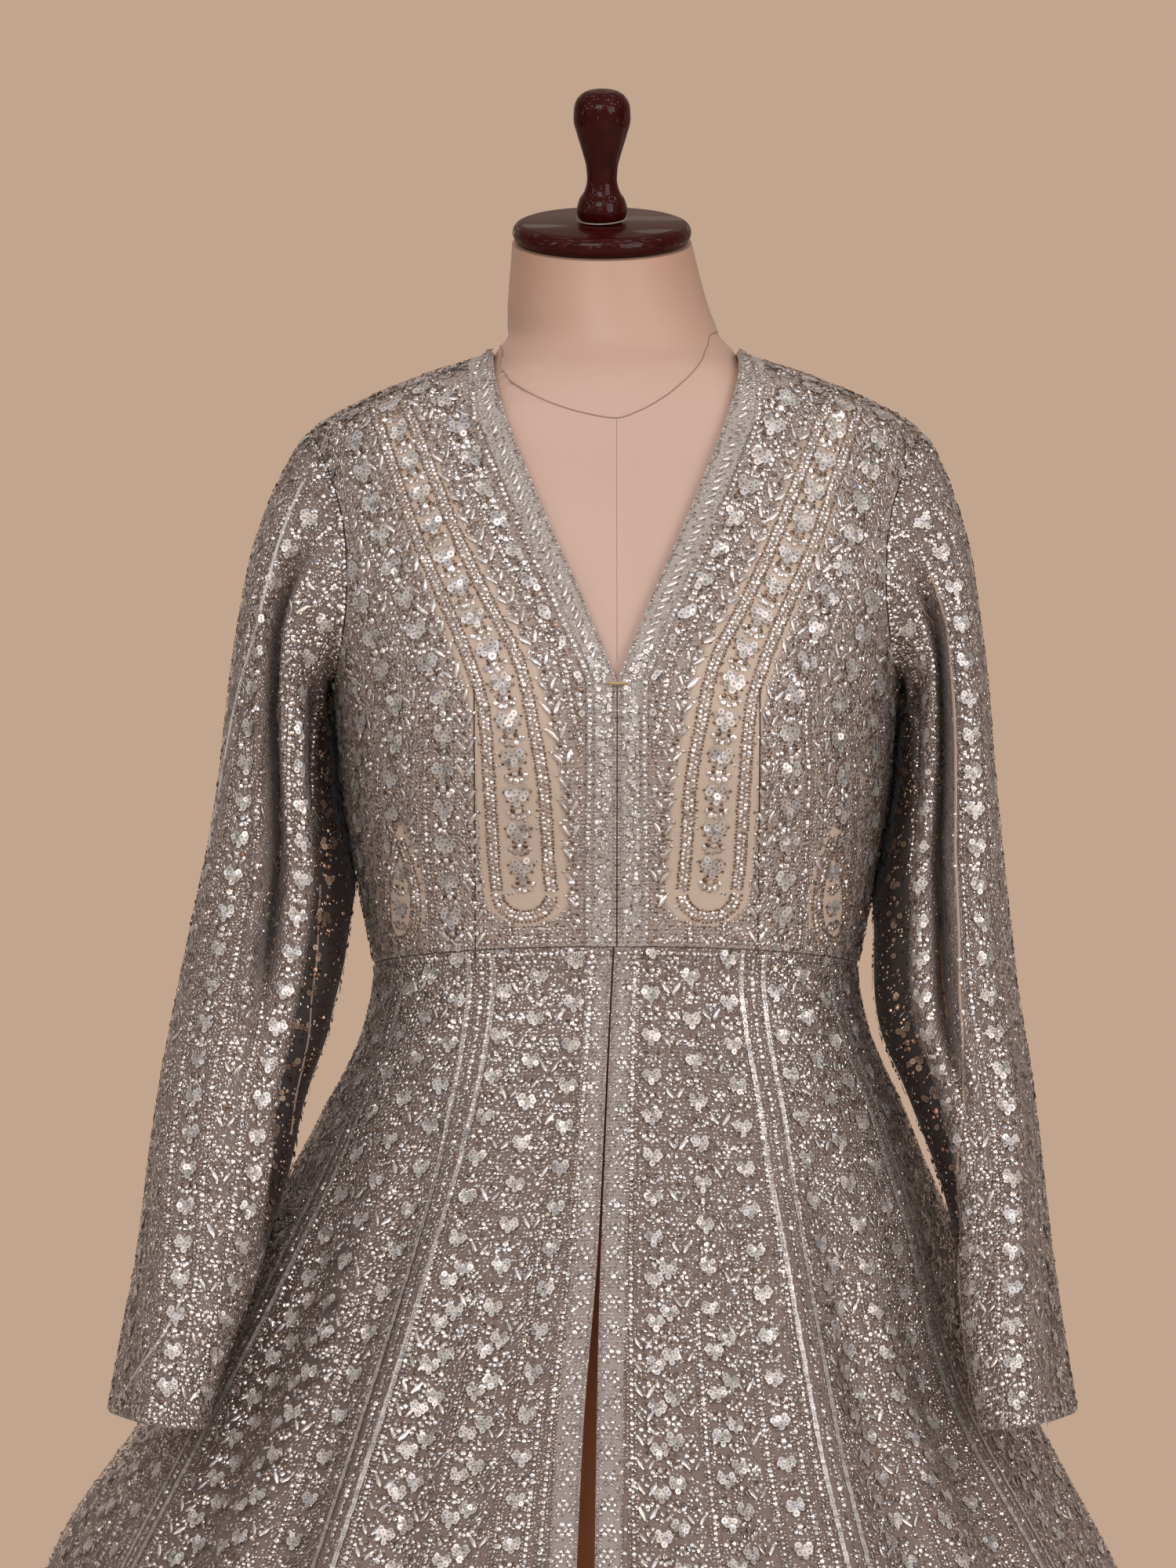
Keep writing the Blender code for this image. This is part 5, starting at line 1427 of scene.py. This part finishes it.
def build_cap_and_finial():
    """The lacquered cap and finial, with the same profile as the solids, and a thread wound twice round it."""
    up = tilted(0.0, 0.0, 1.0)
    foot = np.array([0.0, 0.0, NECK_TOP]) + up * SEAM
    rim_radius = CAP_THICK / 2
    arc = np.radians(np.linspace(-80, 80, 7))
    rim = [(CAP_RADIUS + rim_radius * (np.cos(a) - 1), rim_radius * (1 + np.sin(a))) for a in arc]
    turned("neck_cap", "form_cap", rim, foot, sides=88)
    seat = foot + up * (rim_radius * (1 + np.sin(arc[-1])) + SEAM)
    turned("turned_finial", "form_finial", FINIAL, seat)
    angle = np.linspace(0, 4 * np.pi, 100)
    height = 0.0017 + 0.0006 * angle / (4 * np.pi) - 0.0010 * np.cos(angle + 2.0)
    ring = tilted(0.0143 * np.cos(angle), 0.0143 * np.sin(angle), height)
    thread("finial_thread", ring + seat, 0.00025, WHITE_THREAD)


def thread(name, path, radius, finish):
    """A closed round thread along a path of points: a ring of six points round each of them."""
    ahead = unit(np.gradient(path, axis=0))
    side = unit(np.cross(ahead, np.array([0.0, 0.0, 1.0]) + 0.3 * np.abs(ahead[:, ::-1])))
    angle = (np.arange(6) * np.pi / 3)[None, :, None]
    ring = np.cos(angle) * side[:, None] + np.sin(angle) * np.cross(side, ahead)[:, None]
    settle(rings_mesh(name, path[:, None] + radius * ring, finish))


# The tape round the neck's foot: turn in degrees and height
NECK_LINE = Curves("turn height", [
    (-85.0, 1.4545), (-59.6, 1.4480), (-34.4, 1.4373), (-25.1, 1.4293), (-18.6, 1.4232), (-11.3, 1.4161),
    (-5.9, 1.4116), (0.0, 1.4086), (3.6, 1.4121), (9.3, 1.4202), (14.9, 1.4283), (25.0, 1.4389),
    (35.3, 1.4449), (47.4, 1.4505), (64.0, 1.4590), (85.0, 1.4620),
])


def build_form_lines():
    """Brown tapes on the form: one round the neck's foot and one down the centre front."""
    turn = np.linspace(-82.0, 82.0, 120)
    face = form_face(np.radians(turn), NECK_LINE.at("height", turn), out=0.0001)
    thread("form_neck_line", face, 0.00045, TAPE)
    z = np.linspace(NECK_V + 0.012, NECK_LINE.at("height", 0.0), 90)
    thread("form_centre_line", form_face(np.zeros(90), z), 0.0002, TAPE)


# Where the piping of the right sleeve runs: place along the sleeve and angle
PIPING_LINE = Curves("along angle", [
    (0.10, 78.0), (0.148, 80.0), (0.344, 80.0), (0.474, 81.0), (0.59, 84.0), (0.664, 94.0), (0.742, 118.0),
    (0.81, 138.0), (0.887, 134.0), (0.998, 126.0),
])
# Satin ribbons of the left sleeve: the outer one below the shoulder, one by the cuff, one beside the torso
SLEEVE_RIBBONS = (
    (0.0011, SATIN, ((0.070, 44.0), (0.096, 50.0), (0.153, 59.0), (0.280, 46.0), (0.360, 36.0), (0.440, 27.0))),
    (0.0009, SATIN, ((0.860, 62.0), (0.904, 49.0), (0.941, 30.0), (0.983, 0.0))),
    (0.0006, PIPING, ((0.430, 157.0), (0.546, 163.0), (0.636, 171.0), (0.700, 176.0))),
)
DART = 0.0786           # distance of each dart seam from the centre front
DART_ENDS = (1.2620, 1.1060)


def build_sewn_lines():
    """Dart seams of the fronts as thin brown lines, tan piping down the right sleeve, ribbons on the left one."""
    z = np.linspace(*DART_ENDS, 90)
    for side, word in ((-1, "left"), (1, "right")):
        thread(f"dart_seam_{word}", body(side * turn_of(DART, z), z), 0.00045, SEAM_THREAD)
    lines = [("sleeve_piping", 1, 240, 0.0009, PIPING, PIPING_LINE)]
    lines += [(f"sleeve_ribbon_{number + 1}", -1, 160, radius, finish, Curves("along angle", rows))
              for number, (radius, finish, rows) in enumerate(SLEEVE_RIBBONS)]
    for name, side, count, radius, finish, line in lines:
        along = np.linspace(line.rows[0, 0], line.rows[-1, 0], count)
        angle = np.radians(line.at("angle", along))
        thread(name, sleeve(side, angle, along), radius, finish)


# Studio

# How bright the walls, the small lamps and the tan paper are where the beads mirror them
WALL_LIGHT = 0.34
LAMP_LIGHT = 7.8
BACKDROP_LIGHT = 0.55
PAPER = "#C2A58F"
# The camera: focal length and height of its picture in millimetres, and where it stands
LENS = 120.0
PICTURE_HEIGHT = 36.0
EYE = (-0.008, -3.0, 1.2025)
# Soft square lamps: name, place, side in metres, watts, and whether glossy faces mirror them
LAMPS = (
    ("soft_key", (-0.8, -3.6, 2.9), 1.6, 34, True),
    ("soft_fill", (2.1, -2.8, 1.8), 1.8, 30, True),
    ("soft_back", (-1.2, 3.4, 3.2), 2.0, 24, False),
)
MIDDLE = (0.0, 0.0, 1.0)
# The small lamp inside the skirt: watts, radius and place
GLOW, GLOW_SIZE, GLOW_AT = 1.7, 0.12, (0.0, 0.14, 0.62)
FLOOR_RADIUS = 4.0
FLOOR_SIDES = 96


def area_light(name, place, size, watts, mirrored):
    """A square soft light that faces the middle of the dress."""
    lamp = bpy.data.lights.new(name, "AREA")
    lamp.size = size
    lamp.energy = watts
    made = bpy.data.objects.new(name, lamp)
    made.location = place
    aim = mathutils.Vector(MIDDLE) - mathutils.Vector(place)
    made.rotation_euler = aim.to_track_quat("-Z", "Y").to_euler()
    made.visible_camera = False
    made.visible_glossy = mirrored
    bpy.context.scene.collection.objects.link(made)


def studio_world():
    """A studio seen in every bead: dim walls with many small lamps, brighter in front and above, tan paper behind.

    Camera rays see plain tan paper alone, which is all that shows behind the dress.
    """
    world = bpy.data.worlds.new("studio")
    world.use_nodes = True
    tree = world.node_tree
    way = add(tree, "ShaderNodeTexCoord", {})["Generated"]
    ahead, back = (add(tree, "ShaderNodeVectorMath", {0: way, 1: aim}, operation="DOT_PRODUCT")["Value"]
                   for aim in ((0.0, -0.86, 0.5), (0.0, 1.0, 0.0)))
    front = add(tree, "ShaderNodeMapRange", {"Value": ahead, "From Min": -0.45, "From Max": 0.95,
                                             "To Min": 0.15, "To Max": 1.0}, interpolation_type="SMOOTHSTEP")
    cell = add(tree, "ShaderNodeTexVoronoi", {"Vector": way, "Scale": 5.0})
    lamp = add(tree, "ShaderNodeMapRange", {"Value": cell["Distance"], "From Min": 0.24, "From Max": 0.34,
                                            "To Min": LAMP_LIGHT, "To Max": 0.0}, interpolation_type="SMOOTHSTEP")
    light = lamp
    for other, operation in ((add(tree, "ShaderNodeSeparateColor", {"Color": cell["Color"]})["Red"], "MULTIPLY"),
                             (WALL_LIGHT, "ADD"), (front, "MULTIPLY")):
        light = add(tree, "ShaderNodeMath", {0: light, 1: other}, operation=operation)
    behind = add(tree, "ShaderNodeMapRange", {"Value": back, "From Min": 0.0, "From Max": 0.7,
                                              "To Min": 0.0, "To Max": BACKDROP_LIGHT})
    room, drop, paper = (add(tree, "ShaderNodeBackground", {"Color": linear(colour), "Strength": strength})
                         for colour, strength in (("#FFFDFC", light), (PAPER, behind), (PAPER, 1.0)))
    seen = add(tree, "ShaderNodeLightPath", {})["Is Camera Ray"]
    around = add(tree, "ShaderNodeAddShader", {0: room, 1: drop})
    wire(tree.nodes["World Output"], {"Surface": add(tree, "ShaderNodeMixShader", {0: seen, 1: around, 2: paper})})
    return world


def build_studio():
    """Camera, surroundings, soft lamps, a small one inside the skirt that shows through the net, plain floor."""
    camera = bpy.data.cameras.new("camera")
    camera.lens = LENS
    camera.sensor_fit = "VERTICAL"
    camera.sensor_height = PICTURE_HEIGHT
    eye = bpy.data.objects.new("camera", camera)
    eye.location = EYE
    eye.rotation_euler = (np.pi / 2, 0.0, 0.0)
    scene = bpy.context.scene
    scene.collection.objects.link(eye)
    scene.camera = eye
    scene.world = studio_world()
    scene.view_settings.view_transform = "Standard"
    for lamp in LAMPS:
        area_light(*lamp)
    glow = bpy.data.lights.new("light_through_the_net", "POINT")
    glow.energy = GLOW
    glow.shadow_soft_size = GLOW_SIZE
    under = bpy.data.objects.new("light_through_the_net", glow)
    under.location = GLOW_AT
    under.visible_camera = False
    scene.collection.objects.link(under)
    corners, triangles = disc(FLOOR_SIDES)
    floor = build_mesh("floor", corners * (2 * FLOOR_RADIUS, 2 * FLOOR_RADIUS, 0), triangles, (FLOOR,), soft=40)


build_studio()
build_form()
build_form_lines()
build_sewn_lines()
build_cap_and_finial()
build_bodice()
build_skirt()
build_sleeves()
bead_skirt()
bead_bodice()
bead_borders()
bead_sleeves()
for node, finish in (("closure_bar", GOLD_THREAD), ("stand_pole", STEEL), ("stand_base", LACQUER)):
    bpy.data.objects[node].material_slots[0].material = finish
